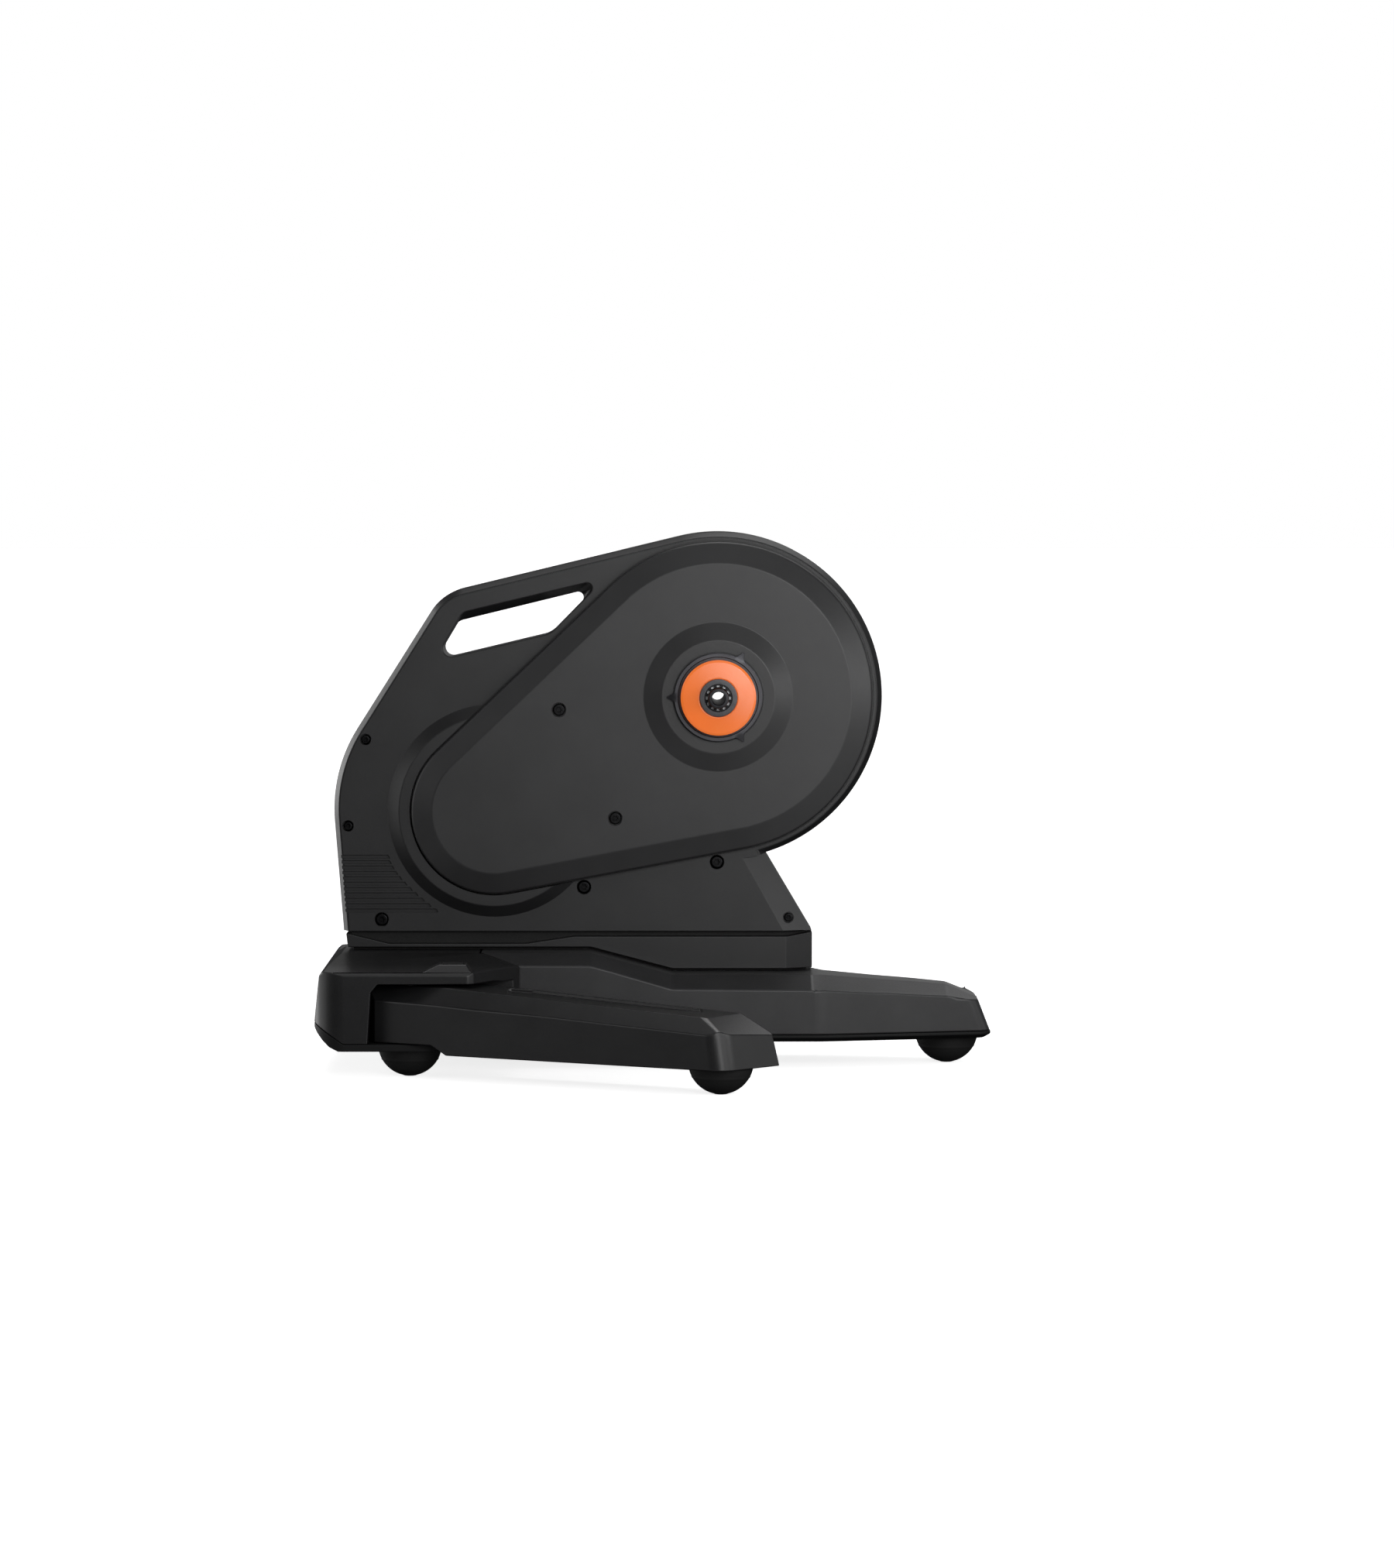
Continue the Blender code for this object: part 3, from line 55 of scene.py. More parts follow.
MM = 0.001
GAP = 0.3
AXLE_X = sum(corner.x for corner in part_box("hub_axle")) / 2 / MM
CURVE_SAG = 0.03
BASE_REAR_X = -366.2
BASE_HALF = 160.0
LIP_FRONT_X = -223.0
LIP_TOP_Z = 96.8
LIP_UNDER_Z = 86.0
SADDLE_Z = 104.6
SADDLE_HALF = 40.0
TRAY_TOP_Z = 31.8
BEAM_SIDE = 75.0
BEAM_REAR_X = -219.0
BEAM_JOINT_X = -183.0
HINGE_X = -280.4
HINGE_Y = 120.0
HINGE_PIN_R = 8.0


def arc(centre, radius, start, end):
    """Points of an arc, close enough together to read as a curve."""
    step = min(7.5, 2 * math.degrees(math.acos(1 - CURVE_SAG / radius)))
    count = max(2, math.ceil(abs(end - start) / step - 0.001))
    turns = [math.radians(start + (end - start) * i / count) for i in range(count + 1)]
    return [(centre[0] + radius * math.cos(t), centre[1] + radius * math.sin(t)) for t in turns]


def fillet(before, at, after, radius):
    """The points of an arc that rounds the corner at `at`."""
    corner = Vector(at)
    back = (Vector(before) - corner).normalized()
    ahead = (Vector(after) - corner).normalized()
    half = back.angle(ahead) / 2
    reach = radius / math.tan(half)
    middle = corner + (back + ahead).normalized() * (radius / math.sin(half))
    first = corner + back * reach - middle
    sweep = first.angle_signed(corner + ahead * reach - middle)
    start = math.degrees(math.atan2(first.y, first.x))
    return arc(middle, radius, start, start - math.degrees(sweep))


def outline(*items):
    """Joins points, points with a corner radius, and lists of points into one closed outline."""
    ends = [(item[0][:2], item[-1][:2]) if isinstance(item, list) else (item[:2], item[:2])
            for item in items]
    points = []
    for i, item in enumerate(items):
        if isinstance(item, list):
            points += item
        elif len(item) == 3:
            points += fillet(ends[i - 1][1], item[:2], ends[(i + 1) % len(items)][0], item[2])
        else:
            points.append(item)
    return points


def make(name, points, faces):
    """A closed mesh from points in millimetres."""
    mesh = bpy.data.meshes.new(name)
    mesh.from_pydata([Vector((x + AXLE_X, y, z)) * MM for x, y, z in points], [], faces)
    shape = bmesh.new()
    shape.from_mesh(mesh)
    bmesh.ops.recalc_face_normals(shape, faces=shape.faces)
    shape.to_mesh(mesh)
    shape.free()
    piece = bpy.data.objects.new(name, mesh)
    bpy.context.scene.collection.objects.link(piece)
    return piece


def loft(name, rings, hollow=False):
    """Rings of equally many points, joined in order. Hollow joins the last to the first."""
    count = len(rings[0])
    faces = []
    if not hollow:
        faces = [tuple(range(count)), tuple(range((len(rings) - 1) * count, len(rings) * count))]
    for level in range(len(rings) - (0 if hollow else 1)):
        low, high = level * count, (level + 1) % len(rings) * count
        for i in range(count):
            j = (i + 1) % count
            faces.append((low + i, low + j, high + j, high + i))
    return make(name, [point for ring in rings for point in ring], faces)


def across(points, y):
    """An outline in X and Z, set at a depth."""
    return [(x, y, z) for x, z in points]


def level(points, z):
    """An outline in X and Y, set at a height."""
    return [(x, y, z) for x, y in points]


def plate(name, points, near, far):
    return loft(name, [across(points, near), across(points, far)])


def slab(name, points, low, high):
    return loft(name, [level(points, low), level(points, high)])


def block(name, low, high):
    corners = [(low[0], low[1]), (high[0], low[1]), (high[0], high[1]), (low[0], high[1])]
    return slab(name, corners, low[2], high[2])


def both_sides(near):
    """The near half of an outline in X and Y, and its mirror image."""
    return near + [(x, -y) for x, y in reversed(near)]


def turned(name, profile, centre, upright=False, count=96):
    """A solid turned from (radius, place along the axis) points, about Y or an upright axis."""
    rings = []
    for radius, along in profile:
        if radius:
            ring = []
            for i in range(count):
                a = radius * math.cos(math.tau * i / count)
                b = radius * math.sin(math.tau * i / count)
                turned_point = (a, b, along) if upright else (a, along, b)
                ring.append(tuple(p + c for p, c in zip(turned_point, centre)))
            rings.append(ring)
    return loft(name, rings, hollow=profile[0][0] != 0)


def rod(name, radius, low, high, centre, upright=True, count=96):
    """A plain round bar, from low to high along its axis."""
    return turned(name, [(0, low), (radius, low), (radius, high), (0, high)], centre, upright,
                  count)


def settle(piece):
    """Makes a piece's modifiers part of its mesh and leaves no face of no size."""
    bpy.context.view_layer.update()
    graph = bpy.context.evaluated_depsgraph_get()
    mesh = bpy.data.meshes.new_from_object(piece.evaluated_get(graph))
    shape = bmesh.new()
    shape.from_mesh(mesh)
    bmesh.ops.remove_doubles(shape, verts=shape.verts, dist=0.004 * MM)
    bmesh.ops.dissolve_degenerate(shape, edges=shape.edges, dist=0.004 * MM)
    bmesh.ops.dissolve_limit(shape, angle_limit=math.radians(0.15), verts=shape.verts,
                             edges=shape.edges)
    shape.to_mesh(mesh)
    shape.free()
    piece.modifiers.clear()
    piece.data = mesh


def combine(operation, target, others):
    """Joins other solids to a piece, cuts them from it, or keeps what both hold."""
    for other in others:
        change = target.modifiers.new(other.name, "BOOLEAN")
        change.operation = operation
        change.solver = "EXACT"
        change.object = other
    settle(target)
    for other in others:
        bpy.data.objects.remove(other)


def cut(target, *others):
    combine("DIFFERENCE", target, others)


def join(target, *others):
    combine("UNION", target, others)


def keep_within(target, *others):
    combine("INTERSECT", target, others)


def ease(piece, width, segments=3, from_deg=11.0):
    """Rounds every edge that turns by more than an angle, as a mould or a coat leaves it."""
    round_off = piece.modifiers.new("round_off", "BEVEL")
    round_off.width = width * MM
    round_off.segments = segments
    round_off.limit_method = "ANGLE"
    round_off.angle_limit = math.radians(from_deg)
    round_off.use_clamp_overlap = False
    round_off.miter_outer = "MITER_ARC"
    piece.data.shade_smooth()
    flat = piece.modifiers.new("flat_faces", "WEIGHTED_NORMAL")
    flat.keep_sharp = True


def dress(piece, finish, body, slot, *nodes):
    """Gives a piece its material, the body it moves with and the CAD nodes it stands for."""
    piece.data.materials.clear()
    piece.data.materials.append(finish)
    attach(piece, body)
    if nodes:
        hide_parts(*nodes)


def linear(colour):
    """An sRGB hex colour as the linear values that a shader takes."""
    parts = [int(colour[i:i + 2], 16) / 255 for i in (1, 3, 5)]
    return (*[p / 12.92 if p <= 0.04045 else ((p + 0.055) / 1.055) ** 2.4 for p in parts], 1.0)


def add_node(tree, kind, settings=None, links=None):
    """One node. Settings are its options, stops or sockets by name or number; links feed sockets."""
    node = tree.nodes.new(kind)
    for key, value in (settings or {}).items():
        if key == "stops":
            for stop, (place, colour) in zip(node.color_ramp.elements, value):
                stop.position = place
                stop.color = colour
        elif isinstance(key, int) or key in node.inputs:
            node.inputs[key].default_value = value
        else:
            setattr(node, key, value)
    for key, source in (links or {}).items():
        tree.links.new(source, node.inputs[key])
    return node


def per(size):
    """How many times a pattern of a size in millimetres repeats in one metre."""
    return 1 / (size * MM)


def new_material(name, settings):
    """A material, its nodes, its shader with these settings, and the place on the piece."""
    made = bpy.data.materials.new(name)
    made.use_nodes = True
    tree = made.node_tree
    shader = tree.nodes["Principled BSDF"]
    for socket, value in settings.items():
        shader.inputs[socket].default_value = value
    return made, tree, shader, add_node(tree, "ShaderNodeTexCoord").outputs["Object"]


def tint_and_raise(tree, shader, tones, ends, pattern, relief, height):
    """Runs from one tone to the other by a pattern, and gives the surface relief by a height."""
    tone = add_node(tree, "ShaderNodeValToRGB", {
        "stops": [(end, linear(tone)) for end, tone in zip(ends, tones)]}, {"Fac": pattern})
    bump = add_node(tree, "ShaderNodeBump", {"Distance": relief * MM}, {"Height": height})
    tree.links.new(tone.outputs["Color"], shader.inputs["Base Color"])
    tree.links.new(bump.outputs["Normal"], shader.inputs["Normal"])


def textured(name, tones, blotch, grain, relief, shine, settings):
    """A surface whose tone drifts over blotches and whose fine grain gives relief and shine."""
    made, tree, shader, place = new_material(name, settings)
    drift = add_node(tree, "ShaderNodeTexNoise", {"Scale": per(blotch), "Detail": 4.0},
                     {"Vector": place})
    grains = add_node(tree, "ShaderNodeTexNoise", {"Scale": per(grain), "Detail": 2.0},
                      {"Vector": place})
    gloss = add_node(tree, "ShaderNodeMapRange", {"From Min": 0.25, "From Max": 0.75,
                                                  "To Min": shine[0], "To Max": shine[1]},
                     {"Value": grains.outputs["Fac"]})
    tree.links.new(gloss.outputs["Result"], shader.inputs["Roughness"])
    tint_and_raise(tree, shader, tones, (0.3, 0.7), drift.outputs["Fac"], relief,
                   grains.outputs["Fac"])
    return made


# Polyester powder coat, sprayed and baked: a soft satin sheen over a slight orange peel. The peel's
# real waves are about 1 mm apart; 1.6 mm still shows from here.
dark_powder_coat = textured("dark_powder_coat", ("#19191a", "#1f1f20"), 35.0, 1.6, 0.03,
                            (0.3, 0.37), {"IOR": 1.5})


def base_plan(name, low, high):
    near = outline(
        (BASE_REAR_X, 0),
        (BASE_REAR_X, -BASE_HALF, 28.0),
        (LIP_FRONT_X, -BASE_HALF, 8.0),
        (BEAM_JOINT_X, -BEAM_SIDE - GAP),
        (BEAM_REAR_X - 1 - GAP, -SADDLE_HALF),
    )[1:]
    return slab(name, both_sides(near), low, high)


base = plate("rear_base_casting", [
    (-339.0, TRAY_TOP_Z + GAP), (-150, TRAY_TOP_Z + GAP), (-150, 120), (-326.8, 120),
    (-358.0, 96.2), (-361.2, 93.5), (BASE_REAR_X, 50.0 + GAP),
], -BASE_HALF - 5, BASE_HALF + 5)
lip_slope = [(-SADDLE_HALF, SADDLE_Z), (-82, LIP_TOP_Z), (-157.4, LIP_TOP_Z),
             (-BASE_HALF - 5, 88.3), (-BASE_HALF - 5, 10)]
lip_slope += [(-y, z) for y, z in reversed(lip_slope)]
keep_within(base, base_plan("base_trim", 0, 150))
keep_within(base, loft("base_slope", [[(x, y, z) for y, z in lip_slope] for x in (-380, -140)]))

LEG_SLOT = [(-160, 84), (-196, 84), (-205, LIP_UNDER_Z), (-308, LIP_UNDER_Z), (-314.2, 78.5),
            (-317.8, 20), (-160, 20)]
INNER_SLOT = [(-160, 84), (-196, 84), (-205, LIP_UNDER_Z), (HINGE_X, LIP_UNDER_Z), (HINGE_X, 20),
              (-160, 20)]
# Rear, front, outer and inner edge of the hump, and of the button in it
HUMP_LOW = (-267.6, -223.9, 157.4, 120.0)
HUMP_HIGH = (-253.0, -228.0, 151.5, 128.0)
HUMP_TOP_Z = 103.4
BUTTON_EDGES = (-250.0, -230.6, 149.5, 131.0)
BUTTON_X = (BUTTON_EDGES[0] + BUTTON_EDGES[1]) / 2
BUTTON_Y = (BUTTON_EDGES[2] + BUTTON_EDGES[3]) / 2
WELL_FLOOR_Z = 96.4
STEM_R = 4.0


def hump_ring(sizes, z, side, grow=0.0):
    rear, front, outer, inner = sizes
    return [(rear - grow, side * (outer + grow), z), (front + grow, side * (outer + grow), z),
            (front + grow, side * (inner - grow), z), (rear - grow, side * (inner - grow), z)]


for side in (-1, 1):
    hinge = (HINGE_X, side * HINGE_Y, 0)
    ramp = [(-224, BASE_HALF * side, LIP_TOP_Z), (-218.8, SADDLE_HALF * side, SADDLE_Z),
            (-146, -11.6 * side, 95.9), (-146, 166 * side, 83.0)]
    cut(base, loft("ramp", [ramp, [(x, y, 160.0) for x, y, _ in ramp]]))
    cut(base, plate("leg_slot", LEG_SLOT, side * HINGE_Y, side * 175))
    cut(base, plate("inner_slot", INNER_SLOT, side * 85, side * 122))
    cut(base, rod("root_room", 43, 20, 84.2, hinge))
    join(base, loft("hump", [hump_ring(HUMP_LOW, 96.0, side, 0.6),
                             hump_ring(HUMP_LOW, LIP_TOP_Z, side),
                             hump_ring(HUMP_HIGH, HUMP_TOP_Z, side)]))
    cut(base, loft("button_well", [hump_ring(BUTTON_EDGES, WELL_FLOOR_Z, side, GAP),
                                   hump_ring(BUTTON_EDGES, 115, side, GAP)]),
        rod("stem_hole", STEM_R + GAP, 70, 100, (BUTTON_X, side * BUTTON_Y, 0), count=48))
    cut(base, rod("pin_hole", HINGE_PIN_R + GAP, 70, 92.4, hinge, count=32))
POCKET = [(-70, 20), (-70, 91), (-SADDLE_HALF, 98), (SADDLE_HALF, 98), (70, 91), (70, 20)]
RAIL_PASSAGE = ((-332, -11, 20), (96, 47, 76.8))
cut(base, loft("pocket", [[(x, y, z) for y, z in POCKET] for x in (-346, -227)]),
    block("rail_passage", *RAIL_PASSAGE))
ease(base, 1.0)
dress(base, dark_powder_coat, "trainer", "painted_metal", "rear_base")


# Rear tray
# A moulded nylon plate that closes the base from below, turned up at the rear, with a round lobe
# under each hinge. Its colour is in the plastic, so it is matt and a little darker than the coat.

TRAY_BOTTOM_Z = 25.3
TRAY_SPLIT_X = -190.0
STUD_R = 6.0
TRAY_EDGE = [(-150, TRAY_TOP_Z), (-339.0, TRAY_TOP_Z), (BASE_REAR_X, 50.0), (-366.2, 46.0),
             (-363.0, 41.0), (-358.0, 35.0), (-352.0, 29.3), (-343.5, TRAY_BOTTOM_Z),
             (-150, TRAY_BOTTOM_Z)]

# Glass-filled nylon, moulded in a spark-eroded mould: matt, with a grain of about 0.3 mm, drawn at
# 1.2 mm so that it shows.
black_nylon = textured("black_nylon", ("#0b0b0c", "#0f0f10"), 25.0, 1.2, 0.03, (0.5, 0.62),
                       {"IOR": 1.53, "Specular IOR Level": 0.22})

tray_plan = outline(
    (BASE_REAR_X, 0),
    (BASE_REAR_X, -BASE_HALF, 28.0),
    (HINGE_X + 22.7, -BASE_HALF),
    arc((HINGE_X, -HINGE_Y), 46.0, -59, 50),
    (-246, -83),
    (-226, -83),
    (-222, -74),
    (TRAY_SPLIT_X, -74),
)[1:]
tray = plate("rear_tray_moulding", TRAY_EDGE, -BASE_HALF - 5, BASE_HALF + 5)
keep_within(tray, slab("tray_trim", both_sides(tray_plan), 0, 80))
for side in (-1, 1):
    cut(tray, rod("stud_hole", STUD_R + GAP, 10, 60, (HINGE_X, side * HINGE_Y, 0), count=32))
ease(tray, 0.7)
dress(tray, black_nylon, "trainer", "dark_plastic", "rear_tray")


# Hinge pins and base rail
# Ground steel pins pressed into the base, and a square steel tube that joins base and beam. Both
# stay hidden, so the solids of the model stand for them and only get their finish here.

# Cold-drawn steel, ground and oiled: grey metal with a fine drawn grain of about 0.5 mm.
ground_steel = textured("ground_steel", ("#9a9a9c", "#a8a8aa"), 18.0, 0.5, 0.004, (0.26, 0.34),
                        {"Metallic": 1.0})
# Zinc plating on steel tube: bluish grey with clouds of a few millimetres.
zinc_plate = textured("zinc_plate", ("#8d9196", "#a3a7ab"), 6.0, 1.0, 0.006, (0.3, 0.45),
                      {"Metallic": 1.0})


def coat(finish, *names):
    """Gives CAD nodes that stay in view their finish."""
    for name in names:
        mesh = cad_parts[name].data
        mesh.materials.clear()
        mesh.materials.append(finish)


coat(ground_steel, "near_hinge_pin", "far_hinge_pin")
coat(zinc_plate, "base_rail")


# Front beam
# An aluminium casting under a grey powder coat: a narrow flat top, a wide chamfer to each side and
# a nose that slopes down, raised at the rear to meet the saddle of the base.

BEAM_TOP_Z = 84.6
BEAM_STATIONS = [
    # place in X, half width and height of the flat top, half width and height of the side's edge
    (BEAM_REAR_X, SADDLE_HALF, SADDLE_Z, 75.0, 95.4),
    (-117, SADDLE_HALF, SADDLE_Z, 75.0, 95.4),
    (-42, SADDLE_HALF, BEAM_TOP_Z, 75.0, 74.0),
    (86, SADDLE_HALF, BEAM_TOP_Z, 75.0, 73.0),
    (97, 27.0, 83.3, 74.5, 72.8),
    (142, 21.5, 79.4, 63.6, 69.9),
    (178, 19.0, 76.7, 54.9, 67.6),
    (211, 15.6, 73.65, 47.0, 65.5),
    (240, 14.0, 61.3, 40.0, 61.3),
    (262, 13.0, 49.8, 36.0, 49.8),
]

# The same powder coat in a lighter grey, to go with the body.
grey_powder_coat = textured("grey_powder_coat", ("#2f2f30", "#353536"), 35.0, 1.6, 0.03,
                            (0.34, 0.42), {"IOR": 1.5})


def beam_section(x, top_half, top_z, side_half, side_z):
    """One section, its chamfers drawn on past the sides, which the footprint trims."""
    beyond = 12.0
    low_z = side_z - beyond * (top_z - side_z) / (side_half - top_half)
    half = side_half + beyond
    near = [(x, -half, 20), (x, -half, low_z), (x, -top_half, top_z)]
    return near + [(x, -y, z) for x, y, z in reversed(near)]


def beam_footprint(z, front_x, shrink=0.0):
    near = outline(
        (BEAM_REAR_X - 1, -SADDLE_HALF),
        (BEAM_JOINT_X, -BEAM_SIDE + shrink),
        (95, -BEAM_SIDE + shrink, 60.0),
        (front_x, -45 + 0.235 * (front_x - 219) + shrink, 14.0),
        (front_x, 0),
    )[:-1]
    return level(both_sides(near), z)


def frame_slot(low, high, far_y=47):
    """Room for the frame plate, which reaches through the beam and the foot of the body."""
    return block("frame_slot", (-172, 3, low), (42, far_y, high))


def beam_hollow_section(x, top_z, edge_z):
    half = [(69.0, 20), (69.0, edge_z - 5), (SADDLE_HALF - 2, top_z - 5)]
    return [(x, -y, z) for y, z in half] + [(x, y, z) for y, z in reversed(half)]


beam = loft("front_beam_casting", [beam_section(*station) for station in BEAM_STATIONS])
keep_within(beam, loft("beam_trim", [
    beam_footprint(TRAY_TOP_Z + GAP, 251.0), beam_footprint(62, 239.4),
    beam_footprint(110, 221.6)]))
cut(beam, loft("beam_hollow", [
    beam_hollow_section(-178, SADDLE_Z, 96.0), beam_hollow_section(-117, SADDLE_Z, 96.0),
    beam_hollow_section(-42, BEAM_TOP_Z, 75.0), beam_hollow_section(86, BEAM_TOP_Z, 74.0)]))
cut(beam, slab("nose_hollow", [(80, -62), (202, -36), (202, 36), (80, 62)], 20, 61),
    block("rail_passage", *RAIL_PASSAGE), frame_slot(70, 110, 46))
ease(beam, 1.6)
dress(beam, grey_powder_coat, "trainer", "painted_metal", "front_beam")


# Beam tray
# The nylon plate under the beam, moulded like the rear tray and drawn in a little at its lower edge.

beam_tray = loft("beam_tray_moulding", [
    beam_footprint(TRAY_TOP_Z, 251.6), beam_footprint(29.0, 251.6),
    beam_footprint(TRAY_BOTTOM_Z, 246.0, 5.0)])
FRONT_FOOT_X = 212.2
cut(beam_tray, block("tray_end", (-300, -100, 0), (TRAY_SPLIT_X + GAP, 100, 50)),
    rod("stud_hole", STUD_R + GAP, 10, 60, (FRONT_FOOT_X, 0, 0), count=32))
ease(beam_tray, 0.7)
dress(beam_tray, black_nylon, "trainer", "dark_plastic", "beam_tray")


# Legs
# Two aluminium castings with the base's dark coat, hollow below, each with a bronze bush pressed
# into its root. A shallow tapering channel is cast into the top, and the nose slopes down.

LEG_OPEN_DEG = 29.4
LEG_LENGTH = 322.0
LEG_OUTER = 38.0
LEG_INNER = 34.0
LEG_FLAT_V = 22.0
LEG_BOTTOM_Z = 24.0
ROOT_BOTTOM_Z = 32.5
ROOT_UNDER_R = 59.2
LEG_STATIONS = [
    # place along the leg, height of the flat top, height of the outer side's edge
    (-60, 83.5, 70.5),
    (50, 83.5, 68.6),
    (160, 77.6, 64.2),
    (315, 69.2, 55.8),
    (380, 65.7, 52.3),
]
CHANNEL = outline((89, -24, 3.0), (114, 17, 7.0), (215, 17, 60.0), (297, -12, 1.5), (285, -29),
                  (112, -30))
CHANNEL_DEPTH = 3.0
BUSH_R = 11.0
# Fall for each millimetre: of the end's facet along the leg, of the flat top between its last
# stations, and of the outer side across the leg. The last value sets how far the facets that lead
# over from side to end cut below a straight blend of the two.
END_FALL = 0.53
TOP_FALL = 0.0538
SIDE_FALL = 0.8375
EDGE_ROUNDING = 3.3


def on_leg(side, points):
    """Moves (u along the leg, v outward, z) to the frame of the trainer, with the leg open."""
    turn = math.radians(side * LEG_OPEN_DEG)
    return [(HINGE_X + u * math.cos(turn) - side * v * math.sin(turn),
             side * HINGE_Y + u * math.sin(turn) + side * v * math.cos(turn), z)
            for u, v, z in points]


def leg_section(u, top_z, edge_z):
    beyond = 10.0
    low_z = edge_z - beyond * (top_z - edge_z) / (LEG_OUTER - LEG_FLAT_V)
    return [(u, LEG_OUTER + beyond, 10), (u, LEG_OUTER + beyond, low_z), (u, LEG_FLAT_V, top_z),
            (u, -LEG_INNER - 10, top_z), (u, -LEG_INNER - 10, 10)]


def leg_footprint(z, reach):
    """The leg seen from above: a root with one corner, straight sides and a slanting end."""
    start = 180 + math.degrees(math.asin(LEG_INNER / LEG_OUTER))
    points = outline(
        (-14.0, LEG_OUTER, 2.5),
        arc((0, 0), LEG_OUTER, 140, start),
        (361.8 + 1.9 * reach, -LEG_INNER, 2.5),
        (345.4 + reach, LEG_OUTER, 20.0),
    )
    return [(u, v, z) for u, v in points]


def leg_top_z(u):
    for (u0, z0, _), (u1, z1, _) in zip(LEG_STATIONS, LEG_STATIONS[1:]):
        if u0 <= u <= u1:
            return z0 + (z1 - z0) * (u - u0) / (u1 - u0)


def nose_z(u, v, share):
    """Height of the facet over the leg's end, or of one that leads over to it from the side's."""
    end_z = 69.0 - END_FALL * (u - 319.5) - 0.03 * (v - LEG_FLAT_V)
    side_z = 69.2 - TOP_FALL * (u - 315) - SIDE_FALL * (v - LEG_FLAT_V)
    return share * end_z + (1 - share) * side_z - EDGE_ROUNDING * share * (1 - share)


# Sintered bronze, soaked in oil: brown-yellow, dull, with pores of about 0.2 mm, drawn at 0.5 mm.
sintered_bronze = textured("sintered_bronze", ("#8a6a3c", "#a2804c"), 2.0, 0.5, 0.02, (0.4, 0.6),
                           {"Metallic": 1.0})

for side, word in ((-1, "near"), (1, "far")):
    leg = loft(f"{word}_leg_casting", [on_leg(side, leg_section(*s)) for s in LEG_STATIONS])
    keep_within(leg, loft("leg_trim", [
        on_leg(side, leg_footprint(LEG_BOTTOM_Z, 1.0)), on_leg(side, leg_footprint(52, -2.9)),
        on_leg(side, leg_footprint(100, -9.7))]))
    nose = ((304, 60), (304, -50), (425, -50), (384, 60))
    centre = on_leg(side, [(0, 0, 0)])[0]
    for share in (1.0, 0.8, 0.6, 0.4, 0.2):
        cut(leg, loft("leg_nose", [on_leg(side, [(u, v, nose_z(u, v, share)) for u, v in nose]),
                                   on_leg(side, [(u, v, 160) for u, v in nose])]))
    cut(leg, turned("root_under", [
        (0, 10), (ROOT_UNDER_R + 1.45 * (ROOT_BOTTOM_Z - 10), 10), (ROOT_UNDER_R, ROOT_BOTTOM_Z),
        (0, ROOT_BOTTOM_Z)], centre, True))
    cut(leg, loft("leg_channel", [
        on_leg(side, [(u, v, leg_top_z(u) - CHANNEL_DEPTH) for u, v in CHANNEL]),
        on_leg(side, [(u, v, 100) for u, v in CHANNEL])]))
    cut(leg, loft("leg_hollow", [on_leg(side, [
        (u, v, z) for v, z in ((-29, 10), (34, 10), (34, top - 9), (20, top), (-29, top))])
        for u, top in ((56, 75.5), (284, 63.5))]))
    cut(leg, rod("bush_bore", BUSH_R + GAP, 10, 100, centre, count=48),
        rod("stud_hole", STUD_R + GAP, 10, 44.4, on_leg(side, [(LEG_LENGTH, 0, 0)])[0], count=32))
    ease(leg, 1.0)
    dress(leg, dark_powder_coat, f"{word}_leg", "painted_metal", f"{word}_leg")
coat(sintered_bronze, "near_leg_bush", "far_leg_bush")


# Ball feet
# Five rubber balls, cut flat just below their middle, where they meet the stand, and bonded to a
# stud. Each one has the thin line that its mould leaves, and a small flat that it stands on.

FOOT_R = 29.25
CONTACT_CUT = 0.4
FOOT_CENTRE_Z = FOOT_R - CONTACT_CUT
MOULD_LINE_DEG = 62.0
MOULD_LINE_RISE = 0.25

# Moulded rubber: deep matt black with a fine grain and a faint bloom of a few centimetres.
foot_rubber = textured("foot_rubber", ("#121212", "#171717"), 14.0, 0.9, 0.04, (0.62, 0.76),
                       {"IOR": 1.52, "Specular IOR Level": 0.35})


def smooth(piece, crease_deg):
    """Shades a piece smooth between its sharp edges and keeps its large faces flat."""
    piece.data.shade_smooth()
    piece.data.set_sharp_from_angle(angle=math.radians(crease_deg))
    flat = piece.modifiers.new("flat_faces", "WEIGHTED_NORMAL")
    flat.keep_sharp = True


def ball_foot(name, place, top_z):
    low = math.degrees(math.acos(FOOT_CENTRE_Z / FOOT_R))
    high = 180 - math.degrees(math.acos((top_z - FOOT_CENTRE_Z) / FOOT_R))
    profile = []
    for i in range(41):
        turn = math.radians(low + (high - low) * i / 40)
        # Above the rim of the flat, only the mould's line stands out to the full radius
        on_line = abs(math.degrees(turn) - MOULD_LINE_DEG) < 1.2
        radius = FOOT_R - (MOULD_LINE_RISE if turn > 0.2 and not on_line else 0.0)
        profile.append((radius * math.sin(turn), FOOT_CENTRE_Z - radius * math.cos(turn)))
    foot = turned(name, [(0, profile[0][1]), *profile, (0, profile[-1][1])], place, True, 96)
    smooth(foot, 40)
    return foot


